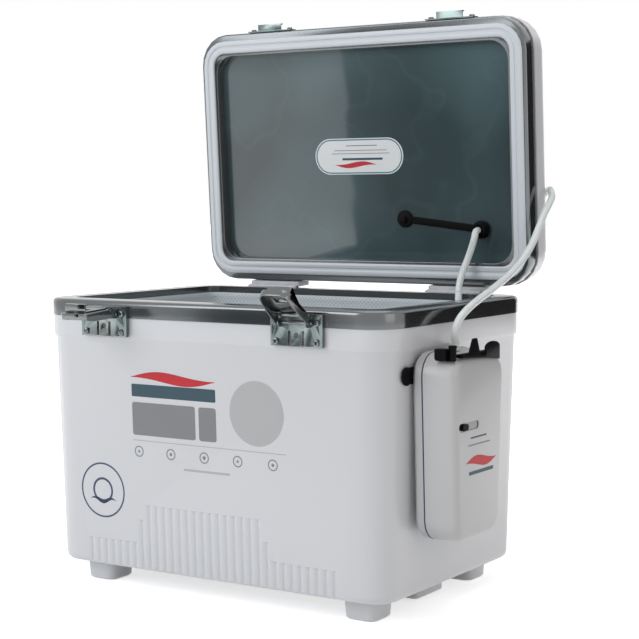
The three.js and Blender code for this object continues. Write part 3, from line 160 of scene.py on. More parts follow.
# Hoses: routes of their centrelines, and how the tubes are drawn
hoseSettings = {
    "outerRadius": 4.2,
    "boreRadius": 3.0,
    "roundness": 6,
    "smoothUnder": 50,
    "samples": 14,
    "step": 3.0,
    "innerSplit": 0.245,
    "outer": [
        (262, -62, 295.5), (262, -62, 298.5), (262, -64.4, 306), (262, -63.5, 313), (262, -54.5, 323),
        (262, -38, 332), (262, -10, 342), (262, 26, 352.5), (261.5, 64, 365), (261, 95, 378), (260, 123, 394),
        (258.5, 144, 410), (257, 160.5, 425), (256, 175, 437.5), (254, 191, 447), (251.5, 202.5, 454.5),
        (248.3, 207.5, 459.5), (244.5, 213, 462.5), (240.5, 219.5, 463), (235, 225.5, 461.5),
        (228, 230, 457.5), (220, 235, 452.5), (210, 241, 447), (198, 246.5, 440.5), (186, 250, 432),
        (175, 248.5, 422.5), (169.3, 241.5, 417.6), (168, 229.2, 416.8),
    ],
    "inner": [
        (168, 170.7, 413.8), (168.3, 164.5, 412), (168.2, 161.5, 405), (165.5, 161.5, 396), (160, 160.5, 380),
        (156.5, 153, 363), (158.5, 140.5, 347), (163, 130.5, 336.5), (165, 126, 325), (165, 124, 305),
        (162, 119, 280), (153, 110, 240), (140, 98, 190), (127, 86, 140), (119, 78, 108), (113, 72, 86),
        (108.6, 67.2, 75.2), (103.6, 61.8, 73.4),
    ],
}


# Centripetal curve through the waypoints
def routePoints(waypoints):
    samples = hoseSettings["samples"]
    knots = [Vector(p) for p in waypoints]
    padded = [knots[0] * 2 - knots[1], *knots, knots[-1] * 2 - knots[-2]]
    line = []
    for a, b, c, d in zip(padded, padded[1:], padded[2:], padded[3:]):
        t0 = 0.0
        t1 = t0 + math.sqrt((b - a).length)
        t2 = t1 + math.sqrt((c - b).length)
        t3 = t2 + math.sqrt((d - c).length)
        for i in range(samples):
            t = t1 + (t2 - t1) * i / samples
            p = a * ((t1 - t) / (t1 - t0)) + b * ((t - t0) / (t1 - t0))
            q = b * ((t2 - t) / (t2 - t1)) + c * ((t - t1) / (t2 - t1))
            r = c * ((t3 - t) / (t3 - t2)) + d * ((t - t2) / (t3 - t2))
            u = p * ((t2 - t) / (t2 - t0)) + q * ((t - t0) / (t2 - t0))
            v = q * ((t3 - t) / (t3 - t1)) + r * ((t - t1) / (t3 - t1))
            line.append(u * ((t2 - t) / (t2 - t1)) + v * ((t - t1) / (t2 - t1)))
    line.append(knots[-1])
    return evenly(line, hoseSettings["step"])


def evenly(line, step):
    total = pathLength(line)
    count = max(2, round(total / step))
    out = []
    walked = 0.0
    i = 0
    for k in range(count + 1):
        target = total * k / count
        while i < len(line) - 2 and walked + (line[i + 1] - line[i]).length < target:
            walked += (line[i + 1] - line[i]).length
            i += 1
        span = (line[i + 1] - line[i]).length
        share = 0.0 if span == 0 else min((target - walked) / span, 1.0)
        out.append(line[i].lerp(line[i + 1], share))
    return out


def pathLength(line):
    return sum((q - p).length for p, q in zip(line, line[1:]))


def tubeAlong(name, line):
    s = hoseSettings
    curve = bpy.data.curves.new(name, "CURVE")
    curve.dimensions = "3D"
    curve.twist_mode = "MINIMUM"
    spline = curve.splines.new("POLY")
    spline.points.add(len(line) - 1)
    for point, place in zip(spline.points, line):
        point.co = (*spot(*place), 1.0)
    wall = s["outerRadius"] - s["boreRadius"]
    curve.bevel_depth = (s["outerRadius"] - wall / 2) / perMetre
    curve.bevel_resolution = s["roundness"]
    obj = bpy.data.objects.new(name, curve)
    scene.collection.objects.link(obj)
    only(obj)
    bpy.ops.object.convert(target="MESH")
    thick = obj.modifiers.new("wall", "SOLIDIFY")
    thick.thickness = wall / perMetre
    thick.offset = 0.0
    applyAll(obj)
    smoothUnder(s["smoothUnder"])
    return obj


outerLine = routePoints(hoseSettings["outer"])
innerLine = routePoints(hoseSettings["inner"])
splitAt = round(len(innerLine) * hoseSettings["innerSplit"])
hoses = [
    {"name": "airHoseOuter", "line": outerLine, "nodes": ("air_hose_outer", "air_hose_lid"), "end": "object",
     "bodies": ("box", "lid"), "bend": ((262, 30, 353), (200, 228, 430))},
    {"name": "airHoseUpper", "line": innerLine[: splitAt + 1], "nodes": ("air_hose_upper",), "end": "object",
     "bodies": ("lid", "box"), "bend": ((168, 170, 413), (164, 128, 329))},
    {"name": "airHoseLower", "line": innerLine[splitAt:], "nodes": ("air_hose_lower",), "end": "fitting",
     "bodies": ("box", "net"), "bend": ((164, 127, 327), (162, 119, 280))},
]
for hose in hoses:
    hose["tube"] = tubeAlong(hose["name"], hose["line"])
    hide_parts(*hose["nodes"])
print("hoses made")


# Shader groups shared by the materials
def makeGroup(name, inputs, outputs):
    tree = bpy.data.node_groups.new(name, "ShaderNodeTree")
    for label, value in inputs.items():
        socket = tree.interface.new_socket(name=label, in_out="INPUT", socket_type="NodeSocketFloat")
        socket.default_value = value
    for label in outputs:
        tree.interface.new_socket(name=label, in_out="OUTPUT", socket_type="NodeSocketFloat")
    return tree, tree.nodes.new("NodeGroupInput"), tree.nodes.new("NodeGroupOutput")


def mathNode(tree, operation, first, second=None, third=None):
    node = tree.nodes.new("ShaderNodeMath")
    node.operation = operation
    for i, value in enumerate((first, second, third)):
        if value is None:
            continue
        if isinstance(value, (int, float)):
            node.inputs[i].default_value = value
        else:
            tree.links.new(value, node.inputs[i])
    return node.outputs[0]


def clampNode(tree, value):
    return mathNode(tree, "MINIMUM", mathNode(tree, "MAXIMUM", value, 0.0), 1.0)


def noiseNode(tree, vector, scale, detail):
    node = tree.nodes.new("ShaderNodeTexNoise")
    node.inputs["Detail"].default_value = detail
    tree.links.new(vector, node.inputs["Vector"])
    if isinstance(scale, (int, float)):
        node.inputs["Scale"].default_value = scale
    else:
        tree.links.new(scale, node.inputs["Scale"])
    return node.outputs["Fac"]


def coordinates(tree, kind):
    return tree.nodes.new("ShaderNodeTexCoord").outputs[kind]


def splitAxes(tree, vector):
    node = tree.nodes.new("ShaderNodeSeparateXYZ")
    tree.links.new(vector, node.inputs[0])
    return node.outputs


# Moulded surface: a fine grain and a slow unevenness
grainSettings = {"fineDetail": 3.0, "slowScale": 9.0, "slowDetail": 2.0, "slowShare": 2.5}


def grainGroup():
    s = grainSettings
    tree, source, target = makeGroup("mouldGrain", {"Scale": 900.0}, ["Height", "Tone"])
    place = coordinates(tree, "Object")
    fine = noiseNode(tree, place, source.outputs["Scale"], s["fineDetail"])
    slow = noiseNode(tree, place, s["slowScale"], s["slowDetail"])
    height = mathNode(tree, "MULTIPLY_ADD", slow, s["slowShare"], fine)
    tree.links.new(height, target.inputs["Height"])
    tree.links.new(slow, target.inputs["Tone"])
    return tree


# Dust that settles on faces that look upwards
dustSettings = {"scale": 38.0, "detail": 4.0, "colour": (0.55, 0.53, 0.5), "roughen": 0.5}


def dustGroup():
    tree, source, target = makeGroup("restDust", {"Amount": 0.1}, ["Mask"])
    normal = tree.nodes.new("ShaderNodeNewGeometry").outputs["Normal"]
    up = mathNode(tree, "MAXIMUM", splitAxes(tree, normal)["Z"], 0.0)
    patch = noiseNode(tree, coordinates(tree, "Object"), dustSettings["scale"], dustSettings["detail"])
    both = mathNode(tree, "MULTIPLY", up, patch)
    tree.links.new(mathNode(tree, "MULTIPLY", both, source.outputs["Amount"]), target.inputs["Mask"])
    return tree


# Rubbed edges and a painted edge highlight, both found from how sharply the surface turns
wearAndHighlightSettings = {"start": 0.52, "gain": 14.0, "scale": 160.0, "detail": 5.0}


def wearAndHighlightGroup():
    s = wearAndHighlightSettings
    tree, source, target = makeGroup("edgeWearAndHighlight", {"Amount": 0.3}, ["Mask"])
    turn = tree.nodes.new("ShaderNodeNewGeometry").outputs["Pointiness"]
    over = mathNode(tree, "SUBTRACT", turn, s["start"])
    broken = noiseNode(tree, coordinates(tree, "Object"), s["scale"], s["detail"])
    steep = mathNode(tree, "MULTIPLY", mathNode(tree, "MULTIPLY", over, s["gain"]), broken)
    wearAndHighlightMask = mathNode(tree, "MULTIPLY", clampNode(tree, steep), source.outputs["Amount"])
    tree.links.new(wearAndHighlightMask, target.inputs["Mask"])
    return tree


# Brushed metal: long thin scratches along X
brushSettings = {"length": 60.0, "detail": 2.0}


def brushGroup():
    tree, source, target = makeGroup("brushLines", {"Fineness": 2600.0}, ["Lines"])
    axes = splitAxes(tree, coordinates(tree, "Object"))
    joined = tree.nodes.new("ShaderNodeCombineXYZ")
    tree.links.new(mathNode(tree, "MULTIPLY", axes["X"], brushSettings["length"]), joined.inputs["X"])
    for axis in "YZ":
        fine = mathNode(tree, "MULTIPLY", axes[axis], source.outputs["Fineness"])
        tree.links.new(fine, joined.inputs[axis])
    lines = noiseNode(tree, joined.outputs[0], 1.0, brushSettings["detail"])
    tree.links.new(lines, target.inputs["Lines"])
    return tree


# Diamond netting from the piece's own UV map, in metres
netLook = {
    "pitch": 0.0056, "strand": 0.00085, "edge": 0.02, "relief": 0.0004,
    "finish": {"colour": (0.84, 0.90, 0.94), "rough": 0.6, "toneDrop": 0.9, "bump": 0.3},
}


def netGroup():
    tree, source, target = makeGroup("diamondNet", {"Pitch": 0.0036, "Strand": 0.00042}, ["Mask", "Height"])
    axes = splitAxes(tree, coordinates(tree, "UV"))
    half = mathNode(tree, "MULTIPLY", source.outputs["Pitch"], 0.5)
    heights = []
    for operation in ("ADD", "SUBTRACT"):
        slant = mathNode(tree, operation, axes["X"], axes["Y"])
        away = mathNode(tree, "PINGPONG", slant, half)
        rise = mathNode(tree, "SUBTRACT", 1.0, mathNode(tree, "DIVIDE", away, source.outputs["Strand"]))
        heights.append(mathNode(tree, "MAXIMUM", rise, 0.0))
    height = mathNode(tree, "MAXIMUM", heights[0], heights[1])
    tree.links.new(height, target.inputs["Height"])
    tree.links.new(mathNode(tree, "GREATER_THAN", height, netLook["edge"]), target.inputs["Mask"])
    return tree


# Painted reflection of a glossy sheet: cloudy light patches with thin curling lines in them
paintedReflectionSettings = {
    "cloudDetail": 1.5, "cloudGain": 3.2, "cloudShift": -1.35, "lineDetail": 2.0, "lineGain": -55.0,
    "lineShare": 0.12,
}


def paintedReflectionGroup():
    s = paintedReflectionSettings
    tree, source, target = makeGroup("paintedReflectionClouds", {"Cloud": 5.2, "Lines": 7.0}, ["Mask"])
    place = coordinates(tree, "Object")
    cloud = noiseNode(tree, place, source.outputs["Cloud"], s["cloudDetail"])
    clouds = clampNode(tree, mathNode(tree, "MULTIPLY_ADD", cloud, s["cloudGain"], s["cloudShift"]))
    curl = noiseNode(tree, place, source.outputs["Lines"], s["lineDetail"])
    thin = mathNode(tree, "ABSOLUTE", mathNode(tree, "SUBTRACT", curl, 0.5))
    line = mathNode(tree, "MAXIMUM", mathNode(tree, "MULTIPLY_ADD", thin, s["lineGain"], 1.0), 0.0)
    both = mathNode(tree, "MULTIPLY_ADD", line, s["lineShare"], clouds)
    tree.links.new(mathNode(tree, "MINIMUM", both, 1.0), target.inputs["Mask"])
    return tree


groups = {
    "grain": grainGroup(), "dust": dustGroup(), "wearAndHighlight": wearAndHighlightGroup(), "brush": brushGroup(), "net": netGroup(),
    "paintedReflection": paintedReflectionGroup(),
}
print("shader groups")


def groupNode(tree, kind, **values):
    node = tree.nodes.new("ShaderNodeGroup")
    node.node_tree = groups[kind]
    for label, value in values.items():
        node.inputs[label].default_value = value
    return node


# The colour sockets of a Mix node go by number
mixSockets = {"first": 6, "second": 7, "result": 2}


def mixColour(tree, mask, first, second):
    node = tree.nodes.new("ShaderNodeMix")
    node.data_type = "RGBA"
    tree.links.new(mask, node.inputs["Factor"])
    for key, value in (("first", first), ("second", second)):
        socket = node.inputs[mixSockets[key]]
        if isinstance(value, tuple):
            socket.default_value = (*value, 1.0)
        else:
            tree.links.new(value, socket)
    return node.outputs[mixSockets["result"]]


def bumpNode(tree, height, distance, shader):
    bump = tree.nodes.new("ShaderNodeBump")
    bump.inputs["Distance"].default_value = distance
    tree.links.new(height, bump.inputs["Height"])
    tree.links.new(bump.outputs["Normal"], shader.inputs["Normal"])
    return bump


# What a finish has unless it says otherwise
plainFinish = {
    "toneDrop": 0.94, "grain": 900.0, "paintedReflection": None, "wearAndHighlight": 0.0, "wearAndHighlightColour": (0.5, 0.5, 0.5), "dust": 0.10,
    "brushed": None, "roughSpread": 0.06, "bump": 0.06, "relief": 0.0002, "metal": 0.0, "coat": 0.0,
    "coatRough": 0.08, "clear": 0.0, "ior": 1.47, "soft": 0.0, "softReach": 0.004,
}


def makeMaterial(name, changes):
    s = {**plainFinish, **changes}
    material = bpy.data.materials.new(name)
    material.use_nodes = True
    tree = material.node_tree
    shader = tree.nodes["Principled BSDF"]
    base = s["colour"]
    darker = tuple(c * s["toneDrop"] for c in base)
    grain = groupNode(tree, "grain", Scale=s["grain"])
    colour = mixColour(tree, grain.outputs["Tone"], darker, base)
    # Mixes in a painted reflection: lighter cloudy patches and thin curling lines
    if s["paintedReflection"]:
        paintedReflection = groupNode(tree, "paintedReflection")
        colour = mixColour(tree, paintedReflection.outputs["Mask"], colour, s["paintedReflection"])
    # Sharp edges take a lighter colour: partly rubbed wear, partly a painted edge highlight
    if s["wearAndHighlight"]:
        wearAndHighlight = groupNode(tree, "wearAndHighlight", Amount=s["wearAndHighlight"])
        colour = mixColour(tree, wearAndHighlight.outputs["Mask"], colour, s["wearAndHighlightColour"])
    dust = groupNode(tree, "dust", Amount=s["dust"])
    colour = mixColour(tree, dust.outputs["Mask"], colour, dustSettings["colour"])
    tree.links.new(colour, shader.inputs["Base Color"])
    if s["brushed"]:
        brush = groupNode(tree, "brush", Fineness=s["brushed"])
        unevenness = height = brush.outputs["Lines"]
    else:
        unevenness = grain.outputs["Tone"]
        height = grain.outputs["Height"]
    rough = mathNode(tree, "MULTIPLY_ADD", unevenness, s["roughSpread"], s["rough"] - s["roughSpread"] / 2)
    rough = mathNode(tree, "MULTIPLY_ADD", dust.outputs["Mask"], dustSettings["roughen"], rough)
    tree.links.new(rough, shader.inputs["Roughness"])
    bump = bumpNode(tree, height, s["relief"], shader)
    bump.inputs["Strength"].default_value = s["bump"]
    shader.inputs["Metallic"].default_value = s["metal"]
    shader.inputs["Coat Weight"].default_value = s["coat"]
    shader.inputs["Coat Roughness"].default_value = s["coatRough"]
    shader.inputs["Transmission Weight"].default_value = s["clear"]
    shader.inputs["IOR"].default_value = s["ior"]
    shader.inputs["Subsurface Weight"].default_value = s["soft"]
    shader.inputs["Subsurface Scale"].default_value = s["softReach"]
    return material


finishes = {
    "shellWhite": {"colour": (0.66, 0.67, 0.695), "rough": 0.34, "coat": 0.25, "coatRough": 0.18,
                   "dust": 0.04, "toneDrop": 0.985},
    "linerWhite": {"colour": (0.66, 0.71, 0.745), "rough": 0.38, "coat": 0.15, "dust": 0.03,
                   "toneDrop": 0.98},
    "trimDark": {"colour": (0.138, 0.148, 0.154), "rough": 0.17, "metal": 0.85, "coat": 0.3,
                 "coatRough": 0.10, "wearAndHighlight": 0.10, "wearAndHighlightColour": (0.22, 0.22, 0.22), "dust": 0.03},
    # The slate panel's sheen colour is a painted reflection, a lighter teal laid over the dark base colour
    "panelSlate": {"colour": (0.022, 0.045, 0.050), "rough": 0.24, "coat": 1.0, "coatRough": 0.04,
                   "grain": 500.0, "dust": 0.03, "paintedReflection": (0.070, 0.125, 0.138)},
    "gasketPale": {"colour": (0.66, 0.70, 0.74), "rough": 0.42, "dust": 0.05, "toneDrop": 0.95},
    # Steel's colour is set dark and greenish: a painted reflection of dark surroundings; its lighter edges
    # are partly a painted highlight
    "steel": {"colour": (0.145, 0.180, 0.178), "rough": 0.22, "metal": 1.0, "brushed": 2600.0,
              "roughSpread": 0.16, "bump": 0.10, "dust": 0.05, "wearAndHighlight": 0.2, "wearAndHighlightColour": (0.6, 0.6, 0.6)},
    # Bright steel's colour is set dark: a painted dark reflection, so the polished levers read black between
    # highlights
    "steelBright": {"colour": (0.175, 0.185, 0.185), "rough": 0.13, "metal": 1.0, "brushed": 1800.0,
                    "roughSpread": 0.10, "dust": 0.03},
    "hingePale": {"colour": (0.56, 0.57, 0.60), "rough": 0.45, "dust": 0.06},
    "blackPlastic": {"colour": (0.003, 0.003, 0.004), "rough": 0.42, "ior": 1.14, "wearAndHighlight": 0.06,
                     "dust": 0.015, "wearAndHighlightColour": (0.03, 0.03, 0.03)},
    "blackRubber": {"colour": (0.006, 0.006, 0.006), "rough": 0.5, "ior": 1.15, "grain": 1500.0,
                    "bump": 0.12, "dust": 0.015},
    "pumpWhite": {"colour": (0.51, 0.51, 0.515), "rough": 0.36, "coat": 0.2, "coatRough": 0.2,
                  "dust": 0.04, "toneDrop": 0.985},
    "sealBlue": {"colour": (0.030, 0.040, 0.110), "rough": 0.5},
    "nozzle": {"colour": (0.72, 0.74, 0.72), "rough": 0.4, "soft": 0.1},
    "hoseClear": {"colour": (0.93, 0.95, 0.955), "rough": 0.18, "clear": 0.22, "ior": 1.40, "dust": 0.0,
                  "soft": 0.3, "toneDrop": 0.97, "coat": 0.3},
    "stoneGrit": {"colour": (0.20, 0.28, 0.35), "rough": 0.9, "grain": 1100.0, "bump": 0.8, "toneDrop": 0.7},
    "labelWhite": {"colour": (0.78, 0.80, 0.81), "rough": 0.3, "coat": 0.3},
    "printRed": {"colour": (0.52, 0.012, 0.022), "rough": 0.45},
    "printTeal": {"colour": (0.022, 0.062, 0.088), "rough": 0.45},
    "printAqua": {"colour": (0.030, 0.180, 0.240), "rough": 0.4},
    "printGrey": {"colour": (0.22, 0.225, 0.235), "rough": 0.5},
    "printPale": {"colour": (0.46, 0.465, 0.47), "rough": 0.5},
    "printNavy": {"colour": (0.045, 0.055, 0.13), "rough": 0.45},
    "cellWrap": {"colour": (0.05, 0.10, 0.22), "rough": 0.3, "metal": 0.3},
    "brassStrip": {"colour": (0.60, 0.42, 0.16), "rough": 0.3, "metal": 1.0},
    "foamCream": {"colour": (0.78, 0.72, 0.52), "rough": 0.9, "grain": 700.0, "bump": 0.6},
}


def netMaterial():
    material = makeMaterial("netCord", netLook["finish"])
    tree = material.node_tree
    net = groupNode(tree, "net", Pitch=netLook["pitch"], Strand=netLook["strand"])
    shader = tree.nodes["Principled BSDF"]
    tree.links.new(net.outputs["Mask"], shader.inputs["Alpha"])
    bumpNode(tree, net.outputs["Height"], netLook["relief"], shader)
    return material


paints = {name: makeMaterial(name, changes) for name, changes in finishes.items()}
paints["netCord"] = netMaterial()
print("materials")


def paint(obj, name):
    obj.data.materials.clear()
    obj.data.materials.append(paints[name])


# Paints a new piece and puts it on its body
def attach(obj, finish, body):
    paint(obj, finish)
    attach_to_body(obj, body)


# A shown copy of a CAD piece: merged, its sharp edges eased, shaded smooth
dressSettings = {"mergeWithin": 0.00002, "flatWithin": 0.2, "segments": 2}


def dress(node, finish, easing, angle):
    s = dressSettings
    original = frame["nodes"][node]
    mesh = original.data.copy()
    obj = bpy.data.objects.new("shown_" + node, mesh)
    scene.collection.objects.link(obj)
    only(obj)
    bpy.ops.object.mode_set(mode="EDIT")
    bpy.ops.mesh.select_all(action="SELECT")
    bpy.ops.mesh.remove_doubles(threshold=s["mergeWithin"])
    bpy.ops.mesh.dissolve_limited(angle_limit=math.radians(s["flatWithin"]))
    bpy.ops.object.mode_set(mode="OBJECT")
    if "custom_normal" in mesh.attributes:
        mesh.attributes.remove(mesh.attributes["custom_normal"])
    if easing:
        bevel = obj.modifiers.new("easing", "BEVEL")
        bevel.width = easing / perMetre
        bevel.segments = s["segments"]
        bevel.limit_method = "ANGLE"
        bevel.angle_limit = math.radians(angle)
        bevel.use_clamp_overlap = True
        applyAll(obj)
    smoothUnder(angle)
    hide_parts(node)
    attach(obj, finish, original["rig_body"])
    return obj


# Each piece: its finish, how far its edges are eased, and the angle up to which it shades smooth
dressing = {
    "outer_shell": ("shellWhite", 0.0, 38.0),
    "inner_liner": ("linerWhite", 0.0, 38.0),
    "rim_frame": ("trimDark", 0.0, 38.0),
    "base_pad_left": ("shellWhite", 1.2, 35.0),
    "base_pad_right": ("shellWhite", 1.2, 35.0),
    "foam_core": ("foamCream", 0.0, 35.0),
    "lid_foam": ("foamCream", 0.0, 35.0),
    "lid_shell": ("shellWhite", 0.0, 42.0),
    "lid_frame": ("trimDark", 0.5, 35.0),
    "lid_gasket": ("gasketPale", 0.35, 50.0),
    "lid_label": ("labelWhite", 0.0, 35.0),
    "hose_port": ("blackPlastic", 0.4, 35.0),
    "port_plug": ("blackRubber", 0.4, 35.0),
    "pump_hanger": ("blackPlastic", 0.5, 35.0),
    "pump_back_case": ("pumpWhite", 0.0, 35.0),
    "pump_front_case": ("pumpWhite", 0.0, 35.0),
    "pump_seal": ("sealBlue", 0.15, 35.0),
    "pump_switch_plate": ("trimDark", 0.0, 35.0),
    "pump_switch": ("blackPlastic", 0.0, 35.0),
    "pump_catch": ("blackPlastic", 0.8, 35.0),
    "pump_plug": ("blackPlastic", 0.4, 35.0),
    "pump_clip": ("blackPlastic", 0.3, 35.0),
    "pump_nozzle": ("nozzle", 0.3, 35.0),
    "pump_motor": ("steel", 0.3, 35.0),
    "pump_diaphragm": ("blackPlastic", 0.5, 35.0),
    "pump_cell_tray": ("blackPlastic", 0.5, 35.0),
    "pump_contact_low": ("brassStrip", 0.0, 35.0),
    "pump_contact_high": ("brassStrip", 0.0, 35.0),
    "pump_cell_1": ("cellWrap", 0.3, 35.0),
    "pump_cell_2": ("cellWrap", 0.3, 35.0),
    "air_stone": ("stoneGrit", 0.3, 35.0),
    "net_ring": ("linerWhite", 0.8, 35.0),
}
sideDressing = {
    "foot_front_": ("shellWhite", 0.0, 38.0),
    "foot_back_": ("shellWhite", 0.0, 38.0),
    "latch_base_": ("steel", 0.35, 35.0),
    "latch_lever_": ("steelBright", 0.4, 35.0),
    "latch_lever_pin_": ("steelBright", 0.2, 35.0),
    "latch_hook_": ("steelBright", 0.35, 35.0),
    "latch_hook_pin_": ("steelBright", 0.2, 35.0),
    "keeper_": ("steel", 0.35, 35.0),
    "hinge_base_": ("hingePale", 0.3, 35.0),
    "hinge_leaf_": ("hingePale", 0.3, 35.0),
    "hinge_pin_": ("steel", 0.2, 35.0),
}
for side in ("left", "right"):
    for start, choice in sideDressing.items():
        dressing[start + side] = choice
shown = {node: dress(node, *choice) for node, choice in dressing.items()}
print("dressed", len(shown), "pieces")

# The hoses: painted, with their placement baked into the mesh
for hose in hoses:
    tube = hose["tube"]
    paint(tube, "hoseClear")
for hose in hoses:
    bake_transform(hose["tube"])


# Lid panel: a thin sheet, slightly wavy as pressed glossy sheets are
panelSettings = {
    "x": 216.5, "y": 136.5, "corner": 24.0, "face": 15.75, "thick": 2.4, "cells": (108, 68), "wave": 0.20,
    "smoothUnder": 40,
}
rippleSettings = {
    "longX": 31.0, "longY": 27.0, "bendX": 24.0, "bendY": 44.0, "bendXShare": 0.6, "bendYShare": 0.8,
    "phase": 1.1, "shortX": 13.0, "shortY": 17.0, "shortBend": 19.0, "shortBendShare": 0.9,
    "shortShare": 0.35, "range": 4.7,
}


# From 0 to about 1, in long and short ripples
def rippleDepth(x, y):
    s = rippleSettings
    alongX = math.sin(x / s["longX"] + s["bendXShare"] * math.sin(y / s["bendX"]))
    alongY = math.sin(y / s["longY"] + s["bendYShare"] * math.sin(x / s["bendY"]) + s["phase"])
    bent = s["shortBendShare"] * math.sin(y / s["shortBend"])
    quick = s["shortShare"] * math.sin(x / s["shortX"] - y / s["shortY"] + bent)
    return 0.5 + (alongX + alongY + quick) / s["range"]


def makePanel():
    s = panelSettings
    across, along = s["cells"]
    obj = addPiece(bpy.ops.mesh.primitive_grid_add, x_subdivisions=across, y_subdivisions=along, size=2.0)
    obj.name = "lidPanelSheet"
    for vertex in obj.data.vertices:
        x = vertex.co.x * s["x"]
        y = vertex.co.y * s["y"]
        over = Vector((abs(x) - s["x"] + s["corner"], abs(y) - s["y"] + s["corner"]))
        if over.x > 0 and over.y > 0 and over.length > s["corner"]:
            over = over.normalized() * s["corner"]
            x = math.copysign(s["x"] - s["corner"] + over.x, x)
            y = math.copysign(s["y"] - s["corner"] + over.y, y)
        vertex.co = lidSpot(x, y, s["face"] + s["wave"] * rippleDepth(x, y))
    solid = obj.modifiers.new("thick", "SOLIDIFY")
    solid.thickness = s["thick"] / perMetre
    solid.offset = 1.0
    applyAll(obj)
    smoothUnder(s["smoothUnder"])
    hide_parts("lid_panel")
    attach(obj, "panelSlate", "lid")


makePanel()
print("panel")


# Net: a thin mesh bag that hangs from the ring
netSettings = {
    "topInset": 34.2, "lowInset": 50.2, "top": 329.6, "bottom": 64.4, "corner": 10.0, "cornerSteps": 6,
    "length": 480.0, "width": 335.0, "cuts": 3,
}


def makeNet():
    s = netSettings
    obj = addPiece(bpy.ops.mesh.primitive_cube_add, size=1.0)
    obj.name = "netMesh"
    selectTop(obj)
    bpy.ops.mesh.delete(type="FACE")
    bpy.ops.object.mode_set(mode="OBJECT")
    for vertex in obj.data.vertices:
        high = vertex.co.z > 0
        inset = s["topInset"] if high else s["lowInset"]
        x = math.copysign(s["length"] / 2 - inset, vertex.co.x)
        y = math.copysign(s["width"] / 2 - inset, vertex.co.y)
        vertex.co = spot(x, y, s["top"] if high else s["bottom"])
    rounding = obj.modifiers.new("corners", "BEVEL")
    rounding.width = s["corner"] / perMetre
    rounding.segments = s["cornerSteps"]
    rounding.limit_method = "ANGLE"
    applyAll(obj)
    bpy.ops.object.mode_set(mode="EDIT")
    bpy.ops.mesh.select_all(action="SELECT")
    bpy.ops.mesh.subdivide(number_cuts=s["cuts"])
    bpy.ops.mesh.normals_make_consistent(inside=False)
    bpy.ops.uv.cube_project(cube_size=1.0, correct_aspect=False)
    bpy.ops.object.mode_set(mode="OBJECT")
    bpy.ops.object.shade_smooth()
    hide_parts("net_bag")
    attach(obj, "netCord", "net")


makeNet()
print("net")


# Screws: a domed head with a cross recess
screwSettings = {
    "head": 3.4, "tall": 1.9, "sides": 24, "inset": 0.22, "dome": 0.25, "smoothUnder": 40,
    "cross": 3.6, "slot": 0.8, "deep": 1.2, "crossTurn": 0.5, "crossUp": 0.75,
}


def makeScrew(name, place, facing, body):
    s = screwSettings
    obj = addPiece(
        bpy.ops.mesh.primitive_cylinder_add,
        vertices=s["sides"], radius=s["head"] / perMetre, depth=s["tall"] / perMetre,
    )
    obj.name = name
    selectTop(obj)
    bpy.ops.mesh.inset(thickness=s["head"] * s["inset"] / perMetre)
    bpy.ops.transform.translate(value=(0, 0, s["tall"] * s["dome"] / perMetre))
    bpy.ops.object.mode_set(mode="OBJECT")
    slotSize = Matrix.Diagonal((s["cross"] / perMetre, s["slot"] / perMetre, s["deep"] / perMetre, 1.0))
    slotUp = Matrix.Translation((0, 0, s["tall"] * s["crossUp"] / perMetre))
    for turn in (0.0, math.pi / 2):
        cutter = addPiece(bpy.ops.mesh.primitive_cube_add, size=1.0)
        cutter.data.transform(Matrix.Rotation(turn + s["crossTurn"], 4, "Z") @ slotSize)
        cutter.data.transform(slotUp)
        cutOut(obj, cutter)
    smoothUnder(s["smoothUnder"])
    direction = Vector(facing).normalized()
    obj.data.transform(direction.to_track_quat("Z", "Y").to_matrix().to_4x4())
    obj.data.transform(Matrix.Translation(place + direction * s["tall"] / 2 / perMetre))
    attach(obj, "steelBright", body)


# Where the screws sit, as x of each fitting's middle, steps to each side, depth and height
screwPlaces = {
    "middles": {
        "Right": {"latch": 130, "keeper": 136, "hinge": 135},
        "Left": {"latch": -135, "keeper": -128, "hinge": -135},
    },
    "latch": {"steps": (-26, 26), "y": -172, "z": (302, 323)},
    "keeper": {"steps": (-28, 28), "y": -163.8, "z": 348.4},
    "hinge": {"steps": (-25, 0, 25), "y": 170.3, "z": 313.2},
    "leaf": {"y": 170, "z": 353.3},
}
latch, keeper, hinge, leaf = (screwPlaces[key] for key in ("latch", "keeper", "hinge", "leaf"))
front = (0, -1, 0)
back = (0, 1, 0)
lidFront = lidTurn().to_3x3() @ Vector(front)
for side, middles in screwPlaces["middles"].items():
    count = 0
    for dx in latch["steps"]:
        for z in latch["z"]:
            count += 1
            makeScrew(f"latchScrew{side}{count}", spot(middles["latch"] + dx, latch["y"], z), front, "box")
    for dx in keeper["steps"]:
        count += 1
        place = lidTurn() @ spot(middles["keeper"] + dx, keeper["y"], keeper["z"])
        makeScrew(f"keeperScrew{side}{count}", place, lidFront, "lid")
    for dx in hinge["steps"]:
        count += 1
        place = spot(middles["hinge"] + dx, hinge["y"], hinge["z"])
        makeScrew(f"hingeScrew{side}{count}", place, back, "box")
        count += 1
        place = lidTurn() @ spot(middles["hinge"] + dx, leaf["y"], leaf["z"])
        makeScrew(f"leafScrew{side}{count}", place, -lidFront, "lid")
print("screws")


# Printed graphics: thin raised ink shapes lying on a wall
inkSettings = {
    "thick": 0.12, "lift": 0.03, "cornerSteps": 5, "waveSteps": 24, "waveTip": 0.02, "cutterTall": 3,
}
wallSettings = {
    "low": 33.0, "high": 290.8, "lowInset": 13.6, "highInset": 4.2, "halfWidth": 167.5, "pumpFace": 290,
    "labelFace": 15.3,
}


# The front wall leans, so its face lies further back near the floor
def frontSpot(x, z, off):
    s = wallSettings
    share = (z - s["low"]) / (s["high"] - s["low"])
    inset = s["lowInset"] + (s["highInset"] - s["lowInset"]) * share
    return spot(x, -(s["halfWidth"] - inset) - off, z)


def pumpSpot(y, z, off):
    return spot(wallSettings["pumpFace"] + off, y, z)


def labelSpot(x, y, off):
    return lidSpot(x, y, wallSettings["labelFace"] - off)


